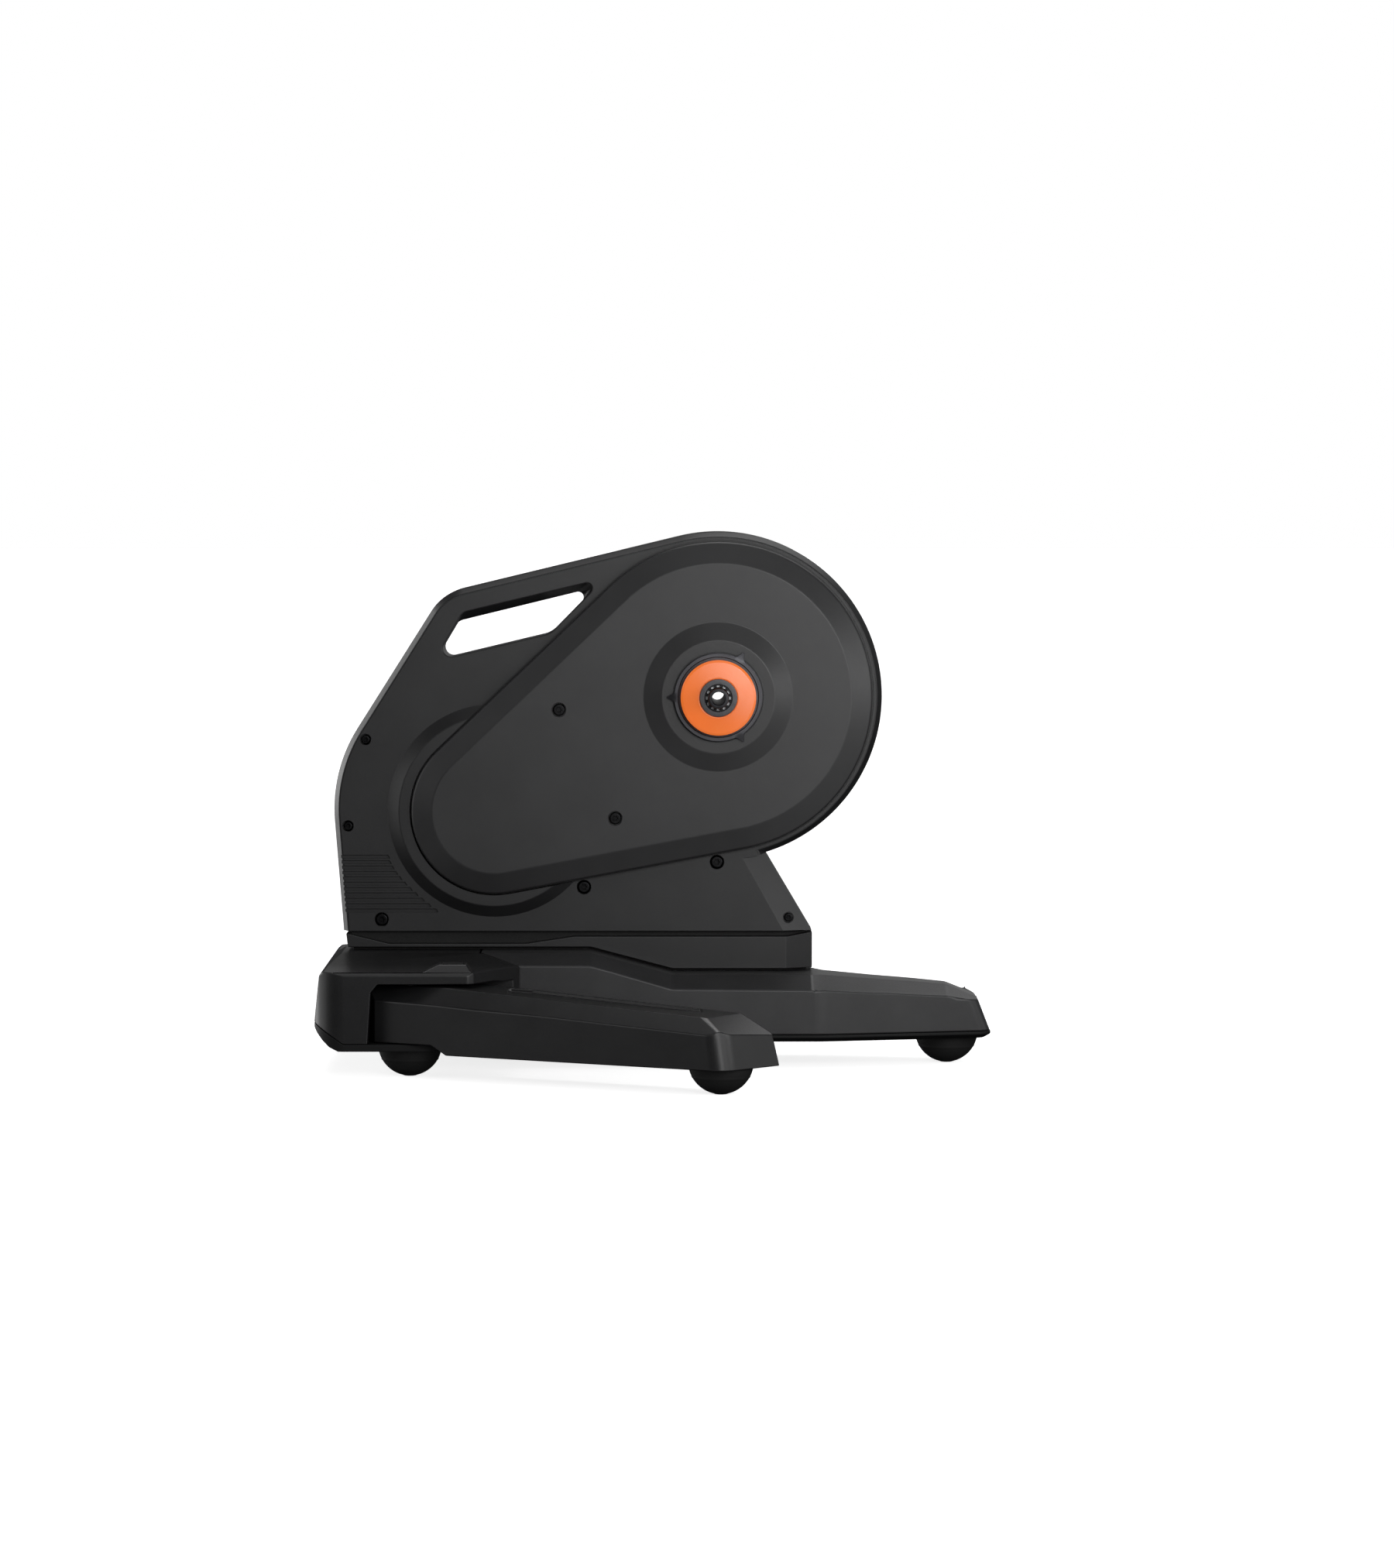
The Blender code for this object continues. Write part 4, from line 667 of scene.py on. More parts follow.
for name, place, top_z, body in (
        ("front_foot", (FRONT_FOOT_X, 0, 0), TRAY_BOTTOM_Z, "trainer"),
        ("near_rear_foot", (HINGE_X, -HINGE_Y, 0), TRAY_BOTTOM_Z, "trainer"),
        ("far_rear_foot", (HINGE_X, HINGE_Y, 0), TRAY_BOTTOM_Z, "trainer"),
        ("near_leg_foot", on_leg(-1, [(LEG_LENGTH, 0, 0)])[0], LEG_BOTTOM_Z, "near_leg"),
        ("far_leg_foot", on_leg(1, [(LEG_LENGTH, 0, 0)])[0], LEG_BOTTOM_Z, "far_leg")):
    dress(ball_foot(name + "_rubber", place, top_z - 0.05), foot_rubber, body, "rubber", name)


# Release buttons
# A nylon push button in each hump, level with its top, on a stem that reaches down to the leg.

BUTTON_TOP_Z = 104.4
BUTTON_DEPTH = 5.0
STEM_LOW_Z = 87.4

for side, word in ((-1, "near"), (1, "far")):
    button = loft(f"{word}_button_cap", [
        hump_ring(BUTTON_EDGES, BUTTON_TOP_Z - BUTTON_DEPTH, side),
        hump_ring(BUTTON_EDGES, BUTTON_TOP_Z, side)])
    join(button, rod("stem", STEM_R, STEM_LOW_Z, 100, (BUTTON_X, side * BUTTON_Y, 0), count=48))
    ease(button, 0.9)
    dress(button, black_nylon, f"{word}_release_button", "dark_plastic", f"{word}_release_button")


# Pedestal
# The moulded foot of the body, in dark plastic, screwed to the saddle and the beam. Set back under
# and over it, two rubber seals leave a shadow groove and keep dirt out of the body.

NEAR_FACE_Y = -6.0
FAR_FACE_Y = 62.0
FACET_DEPTH = 14.0
GROOVE_DEPTH = 7.4
HOUSING_FLOOR_Z = 122.0
PEDESTAL_EDGE = [(-343, 107.2), (-118, 107.2), (-42, 87.0), (87.5, 87.0), (87.5, 120.4),
                 (64, 117), (-133, 117), (-178, 110.3), (-305, 110.3), (-344.6, 120)]
SEALS = {
    "lower_seal": [(-338, 104.7), (-119, 104.7), (-43, 84.7), (82, 84.7), (82, 86.9), (-42, 86.9),
                   (-118, 107.1), (-338, 107.1)],
    "upper_seal": [(82, HOUSING_FLOOR_Z - GAP), (-340, HOUSING_FLOOR_Z - GAP), (-340, 118.8),
                   (-305, 110.4), (-178, 110.4), (-133, 117.1), (64, 117.1), (82, 119.8)]}

# Moulded ABS in dark grey, with the fine matt grain of an etched mould, drawn at 1.3 mm.
dark_abs = textured("dark_abs", ("#1c1c1d", "#222223"), 40.0, 1.3, 0.03, (0.38, 0.46),
                    {"IOR": 1.5})


def foot_piece(name, edge, inset_y, corner_x):
    """A plate under the body, its front corners cut off and a slot for the frame plate in it."""
    piece = plate(name, edge, NEAR_FACE_Y + inset_y, FAR_FACE_Y - inset_y)
    for side, face in ((-1, NEAR_FACE_Y + inset_y), (1, FAR_FACE_Y - inset_y)):
        end_y = face - side * FACET_DEPTH
        cut(piece, slab("corner", [
            (corner_x, face + side * 10), (corner_x, face), (corner_x + 24.6, end_y),
            (corner_x + 50, end_y), (corner_x + 50, face + side * 10)], 80, 125))
    cut(piece, frame_slot(80, 125))
    return piece


pedestal = foot_piece("pedestal_moulding", PEDESTAL_EDGE, 0.0, 63)
ease(pedestal, 0.8)
dress(pedestal, dark_abs, "trainer", "dark_plastic", "pedestal")
for name, edge in SEALS.items():
    seal = foot_piece(name, edge, GROOVE_DEPTH, 58)
    ease(seal, 0.3)
    dress(seal, foot_rubber, "trainer", "rubber")


# Frame plate, brake, flywheel and belt drive
# The works inside the body: a cast plate, a turned steel flywheel on its shaft, four wound coils on
# a steel core, two belt pulleys and a ribbed belt. The housing covers them all.

# Aluminium as it leaves the sand mould: light grey with a grain of about 1.5 mm.
sand_cast_aluminium = textured("sand_cast_aluminium", ("#b4b6b8", "#c4c6c8"), 12.0, 1.5, 0.06,
                               (0.42, 0.56), {"Metallic": 1.0})
# Steel blackened in hot salts and oiled: near black, with soft blotches.
black_oxide_steel = textured("black_oxide_steel", ("#1e1e1f", "#2a2a2b"), 5.0, 0.8, 0.006,
                             (0.3, 0.42), {"Metallic": 1.0})
coat(sand_cast_aluminium, "frame_plate", "brake_carrier", "hub_pulley")
coat(black_oxide_steel, "brake_core")


def ringed_steel(name, tones, centre, pitch, relief, shine):
    """Metal turned on a lathe: fine rings round an axis along Y, a feed's width apart."""
    made, tree, shader, place = new_material(name, {"Metallic": 1.0})
    moved = add_node(tree, "ShaderNodeVectorMath", {
        "operation": "SUBTRACT", 1: Vector((centre[0] + AXLE_X, 0, centre[1])) * MM}, {0: place})
    flat = add_node(tree, "ShaderNodeVectorMath", {"operation": "MULTIPLY", 1: (1, 0, 1)},
                    {0: moved.outputs["Vector"]})
    reach = add_node(tree, "ShaderNodeVectorMath", {"operation": "LENGTH"},
                     {0: flat.outputs["Vector"]})
    rings = add_node(tree, "ShaderNodeMath", {"operation": "MULTIPLY", 1: math.tau * per(pitch)},
                     {0: reach.outputs["Value"]})
    wave = add_node(tree, "ShaderNodeMath", {"operation": "SINE"}, {0: rings.outputs["Value"]})
    uneven = add_node(tree, "ShaderNodeTexNoise", {"Scale": per(4.0), "Detail": 3.0},
                      {"Vector": place})
    mixed = add_node(tree, "ShaderNodeMath", {"operation": "MULTIPLY"},
                     {0: wave.outputs["Value"], 1: uneven.outputs["Fac"]})
    gloss = add_node(tree, "ShaderNodeMapRange", {"To Min": shine[0], "To Max": shine[1]},
                     {"Value": uneven.outputs["Fac"]})
    tree.links.new(gloss.outputs["Result"], shader.inputs["Roughness"])
    tint_and_raise(tree, shader, tones, (0.3, 0.7), uneven.outputs["Fac"], relief,
                   mixed.outputs["Value"])
    return made


HUB = (0.0, 340.0)
AXLE = (0, 0, HUB[1])
FLYWHEEL = (-207.0, 234.0)
# Rings of a turning tool's feed are about 0.2 mm apart; 0.8 mm still shows in a close view.
turned_flywheel_steel = ringed_steel("turned_flywheel_steel", ("#8c8c8e", "#9c9c9e"), FLYWHEEL,
                                     0.8, 0.01, (0.25, 0.38))
turned_hub_steel = ringed_steel("turned_hub_steel", ("#77777a", "#858588"), HUB, 0.8, 0.01,
                                (0.28, 0.4))
coat(turned_flywheel_steel, "flywheel", "flywheel_shaft", "flywheel_bearing_near",
     "flywheel_bearing_far")
coat(turned_hub_steel, "hub_bearing_near", "hub_bearing_far", "hub_axle")


def banded_with_painted_shade(name, tones, band, axis, relief, settings):
    """A surface of close round bands along one axis, such as wound wire or a ribbed belt. Its tone
    follows the bands' relief, with painted shade in each groove and painted light on each crest.
    """
    made, tree, shader, place = new_material(name, settings)
    # The wave texture repeats every tau / 20 of a unit at scale 1
    bands = add_node(tree, "ShaderNodeTexWave", {
        "bands_direction": axis, "Scale": per(band) * math.tau / 20, "Distortion": 0.3},
        {"Vector": place})
    # The tone rides on the same bands as the relief: painted shade in the grooves, painted highlights
    # on the crests.
    tint_and_raise(tree, shader, tones, (0.1, 0.7), bands.outputs["Fac"], relief,
                   bands.outputs["Fac"])
    return made


# Enamelled copper wire of 0.8 mm, wound side by side: glossy reddish bands, with painted shade between
# the wires and a painted highlight along each.
enamelled_copper = banded_with_painted_shade("enamelled_copper", ("#6e3a20", "#c07a4a"), 0.8, "Y", 0.15,
                          {"Metallic": 1.0, "Roughness": 0.3})
# Belt of black rubber with ribs 2.3 mm apart: dull, with a soft painted highlight on each rib and
# painted shade between them.
ribbed_rubber = banded_with_painted_shade("ribbed_rubber", ("#0e0e0e", "#1d1d1d"), 2.34, "Y", 0.8,
                       {"Roughness": 0.62, "IOR": 1.52})
coat(enamelled_copper, *[f"brake_coil_{i + 1}" for i in range(4)])
coat(ribbed_rubber, "drive_belt")


# Housing halves
# Two moulded ABS shells that meet in the middle. The near one carries the flywheel boss and the
# seat of the belt cover, both have the finger gap of the handle, and six screws hold them together.

HOUSING_R = 152.0
PARTING_Y = (NEAR_FACE_Y + FAR_FACE_Y) / 2
WALL = 3.0
EDGE_BAND = 6.5
SEAT_Y = -16.0
COVER_BIG_R = 142.5
COVER_SMALL_R = 76.5
NECK_TOP = (44.0, 194.5)
NECK_FOOT = (87.0, 122.0)
FACET_TOP = (20.3, 194.0)
FACET_FOOT = (60.5, 122.0)
GRIP_BULGE = 8.4
HOUSING_SCREWS = [
    # place in X and Z, radius of the recess, depth of the face it is sunk in
    (-311.5, 132.8, 6.4, NEAR_FACE_Y), (-124.2, 162.9, 6.4, NEAR_FACE_Y),
    (-1.0, 186.1, 6.4, NEAR_FACE_Y), (65.6, 134.3, 5.0, NEAR_FACE_Y + 5.0),
    (-342.4, 219.6, 5.0, NEAR_FACE_Y), (-326.0, 299.8, 5.0, NEAR_FACE_Y),
]

# Moulded ABS, mid grey in the mass, with the same etched grain.
grey_abs = textured("grey_abs", ("#222223", "#282829"), 45.0, 1.3, 0.03, (0.37, 0.45),
                    {"IOR": 1.5})


def inset(points, distance):
    """The outline moved inward by a distance, or outward by a negative one."""
    moved = []
    for i, point in enumerate(points):
        here = Vector(point)
        before = (here - Vector(points[i - 1])).normalized()
        after = (Vector(points[(i + 1) % len(points)]) - here).normalized()
        inward = Vector((-before.y - after.y, before.x + after.x)).normalized()
        scale = inward.dot(Vector((-before.y, before.x)))
        moved.append(tuple(here + inward * (distance / scale)))
    return moved


def around(extra):
    """The band stretched round the hub's and the flywheel's circle, grown by an extra."""
    heading = math.degrees(math.atan2(FLYWHEEL[1] - HUB[1], FLYWHEEL[0] - HUB[0]))
    spread = math.degrees(math.acos((COVER_BIG_R - COVER_SMALL_R) / math.dist(HUB, FLYWHEEL)))
    return inset(arc(HUB, COVER_BIG_R, heading + spread, heading + 360 - spread)
                 + arc(FLYWHEEL, COVER_SMALL_R, heading - spread, heading + spread), -extra)


def housing_outline(drop=0.0):
    """The body from the side. The drop draws its sides on past the bottom."""
    end = math.degrees(math.atan2(NECK_TOP[1] - HUB[1], NECK_TOP[0]))
    return outline(
        (-347.1 + drop * 0.08, HOUSING_FLOOR_Z - drop), (NECK_FOOT[0] + drop * 0.593,
                                                         NECK_FOOT[1] - drop),
        arc(HUB, HOUSING_R, end, 103.7), (-254.9, 434.9, 48.0), (-359.0, 270.4, 140.0))


def housing_ring(y, distance):
    """The outline moved inward all round but at the bottom, where the housing ends square."""
    points = inset(housing_outline(), distance)
    floor = HOUSING_FLOOR_Z + min(distance, 0.3)
    return [(x, y, max(z, floor) if i > 1 else floor) for i, (x, z) in enumerate(points)]


def handle_opening(drop=0.0):
    """The finger gap's outline. The drop lowers its upper edge, where the grip is thickest."""
    return outline(
        (-262.8, 372.2, 8.0),
        (-154.9, 398.0, 22.0),
        (-105.6 - drop * 0.98, 448.2 - drop, 5.0),
        (-236.1 - drop * 0.59, 417.1 - drop, 11.0),
    )


def half_shell(name, face_y, side):
    """One half: a rounded edge band, a fine line round the face, the hollow and the finger gap."""
    inner_y = PARTING_Y + side * GAP / 2
    steps = [(0.0, 5.2), (0.12, 4.85), (0.4, 4.5), (0.9, 4.2), (7.0, 1.4), (8.4, 0.75),
             (9.8, 0.25), (11.0, 0.0)]
    rings = [housing_ring(face_y - side * depth, distance) for depth, distance in steps]
    shell = loft(name, [*rings, housing_ring(inner_y + side * 0.4, 0), housing_ring(inner_y, 0.3)])
    cavity = outline(
        (-338.3, 127.0, 6.0), (51.0, 127.0, 6.0),
        arc(HUB, HOUSING_R - EDGE_BAND - WALL, -84, 138), (-140.0, 392.5), (-165.0, 386.5),
        (-281.0, 359.0, 5.0), (-349.3, 268.0, 125.0))
    cut(shell, plate("hollow", cavity, face_y - side * WALL, inner_y - side * 5))
    line = [(face_y + side, 5.2), (face_y - side * 1.2, 5.3), (face_y - side * 1.2, 5.8),
            (face_y + side, 5.9)]
    cut(shell, loft("edge_line", [across(inset(housing_outline(40.0), distance), y)
                                  for y, distance in line], hollow=True))
    levels = [(-1, 0, 1.2), (0, 0, 1.2), (0.3, 0, 0.62), (0.6, 0, 0.3), (1.2, 0, 0.05),
              (2, 0, 0), (14, GRIP_BULGE * 0.5, 0), (PARTING_Y - 6, GRIP_BULGE * 0.8, 0)]
    cut(shell, loft("grip_gap", [
        *[across(inset(handle_opening(drop), -flare), face_y - side * depth)
          for depth, drop, flare in levels],
        across(handle_opening(GRIP_BULGE), inner_y),
        across(handle_opening(GRIP_BULGE), inner_y - side * 2)]))
    cut(shell, frame_slot(100, 140))
    along = (Vector(FACET_FOOT) - Vector(FACET_TOP)).normalized()
    foot = Vector(FACET_FOOT) + along * 20
    reach = 60.0
    back = FACET_DEPTH * reach / (NECK_FOOT[0] - FACET_FOOT[0])
    wedge = loft("neck_facet", [
        [(x, face_y, z), (x + reach, face_y - side * back, z), (x + reach, face_y + side * 5, z),
         (x, face_y + side * 5, z)] for x, z in (FACET_TOP, tuple(foot))])
    cut(wedge, rod("round_end", HOUSING_R + 0.2, -60, 100, AXLE, False))
    cut(shell, wedge)
    return shell


def recess(x, z, radius, face_y):
    """The round well of a screw, with a small chamfer at its mouth."""
    return turned("recess", [
        (0, face_y - 12), (radius + 0.5, face_y - 12), (radius + 0.5, face_y),
        (radius, face_y + 0.5), (radius, face_y + 5.2), (0, face_y + 5.2)], (x, 0, z), count=64)


near_half = half_shell("near_half_moulding", NEAR_FACE_Y, -1)
join(near_half, turned("flywheel_boss", [
    (0, NEAR_FACE_Y + 1), (98.6, NEAR_FACE_Y + 1), (98.6, NEAR_FACE_Y), (98.2, NEAR_FACE_Y - 0.3),
    (88.6, SEAT_Y + 0.5), (88.0, SEAT_Y + 0.15), (87.2, SEAT_Y), (0, SEAT_Y),
], (FLYWHEEL[0], 0, FLYWHEEL[1]), count=160))
join(near_half, plate("cover_seat", around(-2.5), SEAT_Y, NEAR_FACE_Y + 1))
cut(near_half, loft("cover_line", [across(around(extra), y) for extra, y in (
    (-2.8, SEAT_Y - 2), (1.6, SEAT_Y - 2), (1.6, NEAR_FACE_Y + 1.4), (-2.8, NEAR_FACE_Y + 1.4))],
    hollow=True))
cut(near_half, plate("belt_opening", around(-8.5), SEAT_Y - 2, NEAR_FACE_Y + WALL + 2))
VENT_PITCH = 5.0
VENT_COUNT = 11
VENT_TOP_Z = 191.2


def vent_comb(half):
    """Grooves low on the rear edge, cut shorter towards the top by the flywheel boss."""
    teeth = []
    for i in reversed(range(VENT_COUNT)):
        z = VENT_TOP_Z - VENT_PITCH * i
        end_x = -304.6 + 44.5 * (i / (VENT_COUNT - 1)) ** 1.5
        teeth += [(-370, z - half), (end_x + 1.3, z - half), (end_x - 0.9, z + half),
                  (-370, z + half)]
    return teeth + [(-380, VENT_TOP_Z + half), (-380, VENT_TOP_Z - 60)]


cut(near_half, loft("vents", [across(vent_comb(half), NEAR_FACE_Y + depth) for half, depth in (
    (1.75, -5), (1.75, 0), (1.5, 0.3), (1.5, 2.2))]))
cut(near_half, *[recess(*screw) for screw in HOUSING_SCREWS])
far_half = half_shell("far_half_moulding", FAR_FACE_Y, 1)
SOCKET_PLACE = (-300, 0, 165)
LIGHT_PLACE = (-300, 0, 192)
AIR_SLOT_ENDS = (-248, -166)
AIR_SLOT_HALF = 2.0
AIR_SLOT_PITCH = 9.5
AIR_SLOT_COUNT = 7
AIR_SLOT_LOW_Z = 205.0


def air_slot_ring(z, flare, depth):
    """The slot's rounded outline, as deep in the far face as stated."""
    half = AIR_SLOT_HALF + flare
    return across(arc((AIR_SLOT_ENDS[1], z), half, -90, 90)
                  + arc((AIR_SLOT_ENDS[0], z), half, 90, 270), FAR_FACE_Y - depth)


for i in range(AIR_SLOT_COUNT):
    cut(far_half, loft("air_slot", [
        air_slot_ring(AIR_SLOT_LOW_Z + AIR_SLOT_PITCH * i, flare, depth)
        for flare, depth in ((0.6, -3), (0.6, 0), (0.0, 0.6), (0.0, 8))]))


def stepped_hole(name, place, radius):
    return turned(name, [(0, 50), (radius, 50), (radius, FAR_FACE_Y - 0.6),
                         (radius + 0.6, FAR_FACE_Y), (radius + 0.6, 80), (0, 80)], place, count=64)


cut(far_half, stepped_hole("axle_hole", AXLE, 14.0),
    stepped_hole("socket_hole", SOCKET_PLACE, 6.8), stepped_hole("light_hole", LIGHT_PLACE, 2.8))
for half, node in ((near_half, "drive_side_housing"), (far_half, "far_side_housing")):
    smooth(half, 24)
    dress(half, grey_abs, "trainer", "grey_plastic", node)


# Housing screws
# Black oxide steel screws with a round head and a star socket, sunk in the wells of the near half.

SCREW_R = 2.5


def star(radius, x, z):
    """Six round lobes, as the socket of a star-drive screw has."""
    turns = [math.tau * i / 48 for i in range(48)]
    return [(x + radius * (0.86 + 0.14 * math.cos(6 * t)) * math.cos(t),
             z + radius * (0.86 + 0.14 * math.cos(6 * t)) * math.sin(t)) for t in turns]


def add_screw(node, x, z, recess_r, face_y, length):
    head_y = face_y + 1.2
    seat_y = face_y + 5.2
    head_r = recess_r - 0.9
    screw = turned(node + "_steel", [
        (0, head_y), (head_r - 1.2, head_y), (head_r - 0.6, head_y + 0.15),
        (head_r - 0.15, head_y + 0.6), (head_r, head_y + 1.2), (head_r, seat_y - GAP),
        (SCREW_R, seat_y - GAP), (SCREW_R, seat_y + length), (0, seat_y + length),
    ], (x, 0, z), count=64)
    socket_r = 0.45 * head_r
    cut(screw, loft("socket", [
        across(star(socket_r + 0.35, x, z), head_y - 1),
        across(star(socket_r + 0.35, x, z), head_y),
        across(star(socket_r, x, z), head_y + 0.35), across(star(socket_r, x, z), head_y + 2.4)]))
    smooth(screw, 35)
    dress(screw, black_oxide_steel, "trainer", "black_steel", node)


for i, (x, z, recess_r, face_y) in enumerate(HOUSING_SCREWS):
    add_screw(f"housing_screw_{i + 1}", x, z, recess_r, face_y, 42.0)


# Axle and end caps
# A hollow turned steel axle stands still in the hub. The caps that the bike's dropouts clamp on are
# dark-plated steel: the chain-side one is plain, the far one steps down to the axle's size.

THRU_AXLE_R = 6.1
AXLE_R = 8.7
CAP_R = 9.3
END_Y = 71.0

# Dark satin nickel on turned steel, with the tool's rings still faint under it.
satin_nickel = ringed_steel("satin_nickel", ("#303032", "#3a3a3c"), HUB, 0.7, 0.012, (0.36, 0.48))

drive_cap = turned("drive_cap_turning", [
    (THRU_AXLE_R + 0.5, -END_Y), (CAP_R - 0.8, -END_Y), (CAP_R - 0.2, -END_Y + 0.25),
    (CAP_R, -END_Y + 0.8), (CAP_R, -60), (AXLE_R, -60), (AXLE_R, -54 - GAP),
    (THRU_AXLE_R, -54 - GAP), (THRU_AXLE_R, -END_Y + 0.5),
], AXLE, count=96)
far_cap = turned("far_cap_turning", [
    (THRU_AXLE_R, 57 + GAP), (13.0, 57 + GAP), (13.0, 64.2), (12.4, 65), (10.9, 67.6),
    (10.5, 68.2), (10.5, END_Y - 0.8), (9.8, END_Y), (THRU_AXLE_R + 0.5, END_Y),
    (THRU_AXLE_R, END_Y - 0.5),
], AXLE, count=96)
for cap, node in ((drive_cap, "drive_end_cap"), (far_cap, "far_end_cap")):
    smooth(cap, 28)
    dress(cap, satin_nickel, "trainer", "steel", node)


# Belt cover
# The lid over the belt drive, moulded ABS one tone lighter than the housing: a flat dish with a
# wide chamfer, a bright rounded rim and a raised boss round the sprocket, held by two screws.

COVER_FACE_Y = -26.0
BOSS_FACE_Y = -32.0
COVER_SCREWS = [(-146.8, 328.0, 6.4, COVER_FACE_Y), (-95.0, 227.8, 6.4, COVER_FACE_Y)]

# Moulded ABS, a tone lighter than the housing's and with the same grain.
cover_abs = textured("cover_abs", ("#2b2b2c", "#313132"), 50.0, 1.3, 0.03, (0.36, 0.44),
                     {"IOR": 1.5})

RIM_R = 3.2
rim = [(RIM_R * (1 - math.cos(math.radians(turn))),
        SEAT_Y - GAP + 0.1 - RIM_R * math.sin(math.radians(turn))) for turn in range(4, 70, 8)]
cover = loft("belt_cover_moulding", [
    across(around(-distance), y) for distance, y in (
        (0.4, SEAT_Y - GAP), *rim, (18.3, COVER_FACE_Y + 0.45), (19.3, COVER_FACE_Y + 0.12),
        (20.4, COVER_FACE_Y))])
join(cover, turned("cover_boss", [
    (0, COVER_FACE_Y + 1), (69.2, COVER_FACE_Y + 1), (69.2, COVER_FACE_Y),
    (68.2, COVER_FACE_Y - 0.12), (67.3, COVER_FACE_Y - 0.45), (53.2, BOSS_FACE_Y + 0.4),
    (52.4, BOSS_FACE_Y + 0.1), (51.4, BOSS_FACE_Y), (0, BOSS_FACE_Y),
], AXLE, count=160))
cover_hollow = loft("cover_hollow", [
    across(around(-3.0), SEAT_Y + 2), across(around(-4.0), SEAT_Y - 2),
    across(around(-20.0), COVER_FACE_Y + WALL)])
cut(cover_hollow, *[rod("screw_boss", 8.8, COVER_FACE_Y, -17.8, (x, 0, z), False, 48)
                    for x, z, _, _ in COVER_SCREWS])
cut(cover, cover_hollow)
cut(cover, rod("boss_hollow", 48, BOSS_FACE_Y + WALL, COVER_FACE_Y + 5, AXLE, False),
    turned("hub_hole", [(0, -50), (22.6, -50), (22.6, BOSS_FACE_Y), (22, BOSS_FACE_Y + 0.6),
                        (22, 0), (0, 0)], AXLE),
    turned("ring_line", [(40.0, BOSS_FACE_Y - 1), (41.7, BOSS_FACE_Y - 1), (41.7, BOSS_FACE_Y + 1.6),
                         (40.0, BOSS_FACE_Y + 1.6)], AXLE, count=160),
    *[recess(*screw) for screw in COVER_SCREWS])
smooth(cover, 24)
dress(cover, cover_abs, "trainer", "cover_plastic", "belt_cover")
for i, (x, z, recess_r, face_y) in enumerate(COVER_SCREWS):
    add_screw(f"cover_screw_{i + 1}", x, z, recess_r, face_y, 18.0)


# Freehub, sprocket and its guide discs
# A steel sprocket of fourteen teeth between two guides: behind it a painted steel ring with three
# pointers, in front an orange moulded disc. A notched lockring holds the stack on the freehub.

FREEHUB_R = 16.6
LOCKRING_R = 17.4
GUIDE_R = 40.7
POINTER_R = 47.0
DISC_R = 34.7
TEETH = 14
PITCH_R = 12.7 / 2 / math.sin(math.pi / TEETH)

# Orange polycarbonate, moulded with a satin face. A faint orange glow is painted in as emission, so
# that it looks brighter than the lamps light it.
orange_polycarbonate_painted_glow = textured("orange_polycarbonate_painted_glow", ("#ff7a30", "#ff8036"), 30.0, 1.3, 0.015,
                                (0.2, 0.28), {"IOR": 1.585, "Emission Color": linear("#ff7a2e"),
                                              "Emission Strength": 0.2})
# Steel plate with a dark phosphate finish, oiled: a satin metal just off black.
phosphated_steel = textured("phosphated_steel", ("#47474a", "#4e4e51"), 20.0, 1.2, 0.02,
                            (0.34, 0.44), {"Metallic": 1.0})
# Black nickel on steel: the dark grey metal of the lockring and the sprocket.
black_nickel = ringed_steel("black_nickel", ("#48484a", "#515153"), HUB, 0.6, 0.006, (0.32, 0.42))
coat(sand_cast_aluminium, "freehub_body")


def at_hub(points, y):
    return [(a, y, HUB[1] + b) for a, b in points]


def round_points(radius, count, first=0.0):
    turns = [first + math.tau * i / count for i in range(count)]
    return [(radius * math.cos(turn), radius * math.sin(turn)) for turn in turns]


def pointer_ring(outer, tip, y, fall=0.0):
    """A circle with three pointers a third of a turn apart, flared at the foot, blunt at the tip.

    Each pointer falls back towards its tip."""
    points = []
    for i in range(720):
        turn = i / 2
        off = abs(turn % 120 - 60)
        rise = max(0.0, 1 - max(0.0, off - 0.9) / 7.4) ** 2.3
        radius = outer + (tip - outer) * rise
        points.append((radius * math.cos(math.radians(turn)), y + fall * rise,
                       HUB[1] + radius * math.sin(math.radians(turn))))
    return points


guide = loft("guide_ring_plate", [
    pointer_ring(GUIDE_R, POINTER_R, -36.0), pointer_ring(GUIDE_R, POINTER_R, -38.1, 1.6),
    pointer_ring(GUIDE_R - 0.2, POINTER_R - 0.3, -38.4, 1.7),
    pointer_ring(GUIDE_R - 0.45, POINTER_R - 0.8, -38.45, 1.7),
    *[at_hub(round_points(radius, 720), y) for radius, y in (
        (GUIDE_R - 0.6, -38.6), (37.3, -38.6), (36.8, -38.3), (36.6, -37.4),
        (FREEHUB_R + GAP, -37.4), (FREEHUB_R + GAP, -36.0))]], hollow=True)
smooth(guide, 28)
dress(guide, phosphated_steel, "freehub", "painted_metal", "inner_guide_ring")


def tooth_ring(y, trim=0.0):
    """Rounded valleys a chain pitch apart, with teeth between them."""
    points = []
    parts = [(-0.42, 1.6), (-0.36, -1.0), (-0.30, -2.7), (-0.2, -3.7), (-0.1, -4.1), (0.0, -4.2),
             (0.1, -4.1), (0.2, -3.7), (0.30, -2.7), (0.36, -1.0), (0.42, 1.6), (0.5, 2.6)]
    for tooth in range(TEETH):
        for part, rise in parts:
            turn = math.tau * (tooth + part) / TEETH
            radius = PITCH_R + rise - (trim if rise > -1 else 0)
            points.append((radius * math.cos(turn), radius * math.sin(turn)))
    return at_hub(points, y)


def bore_ring(y):
    """The sprocket's bore, with a point for each point of the teeth."""
    return at_hub(round_points(FREEHUB_R + GAP, TEETH * 12, -math.tau * 0.42 / TEETH), y)


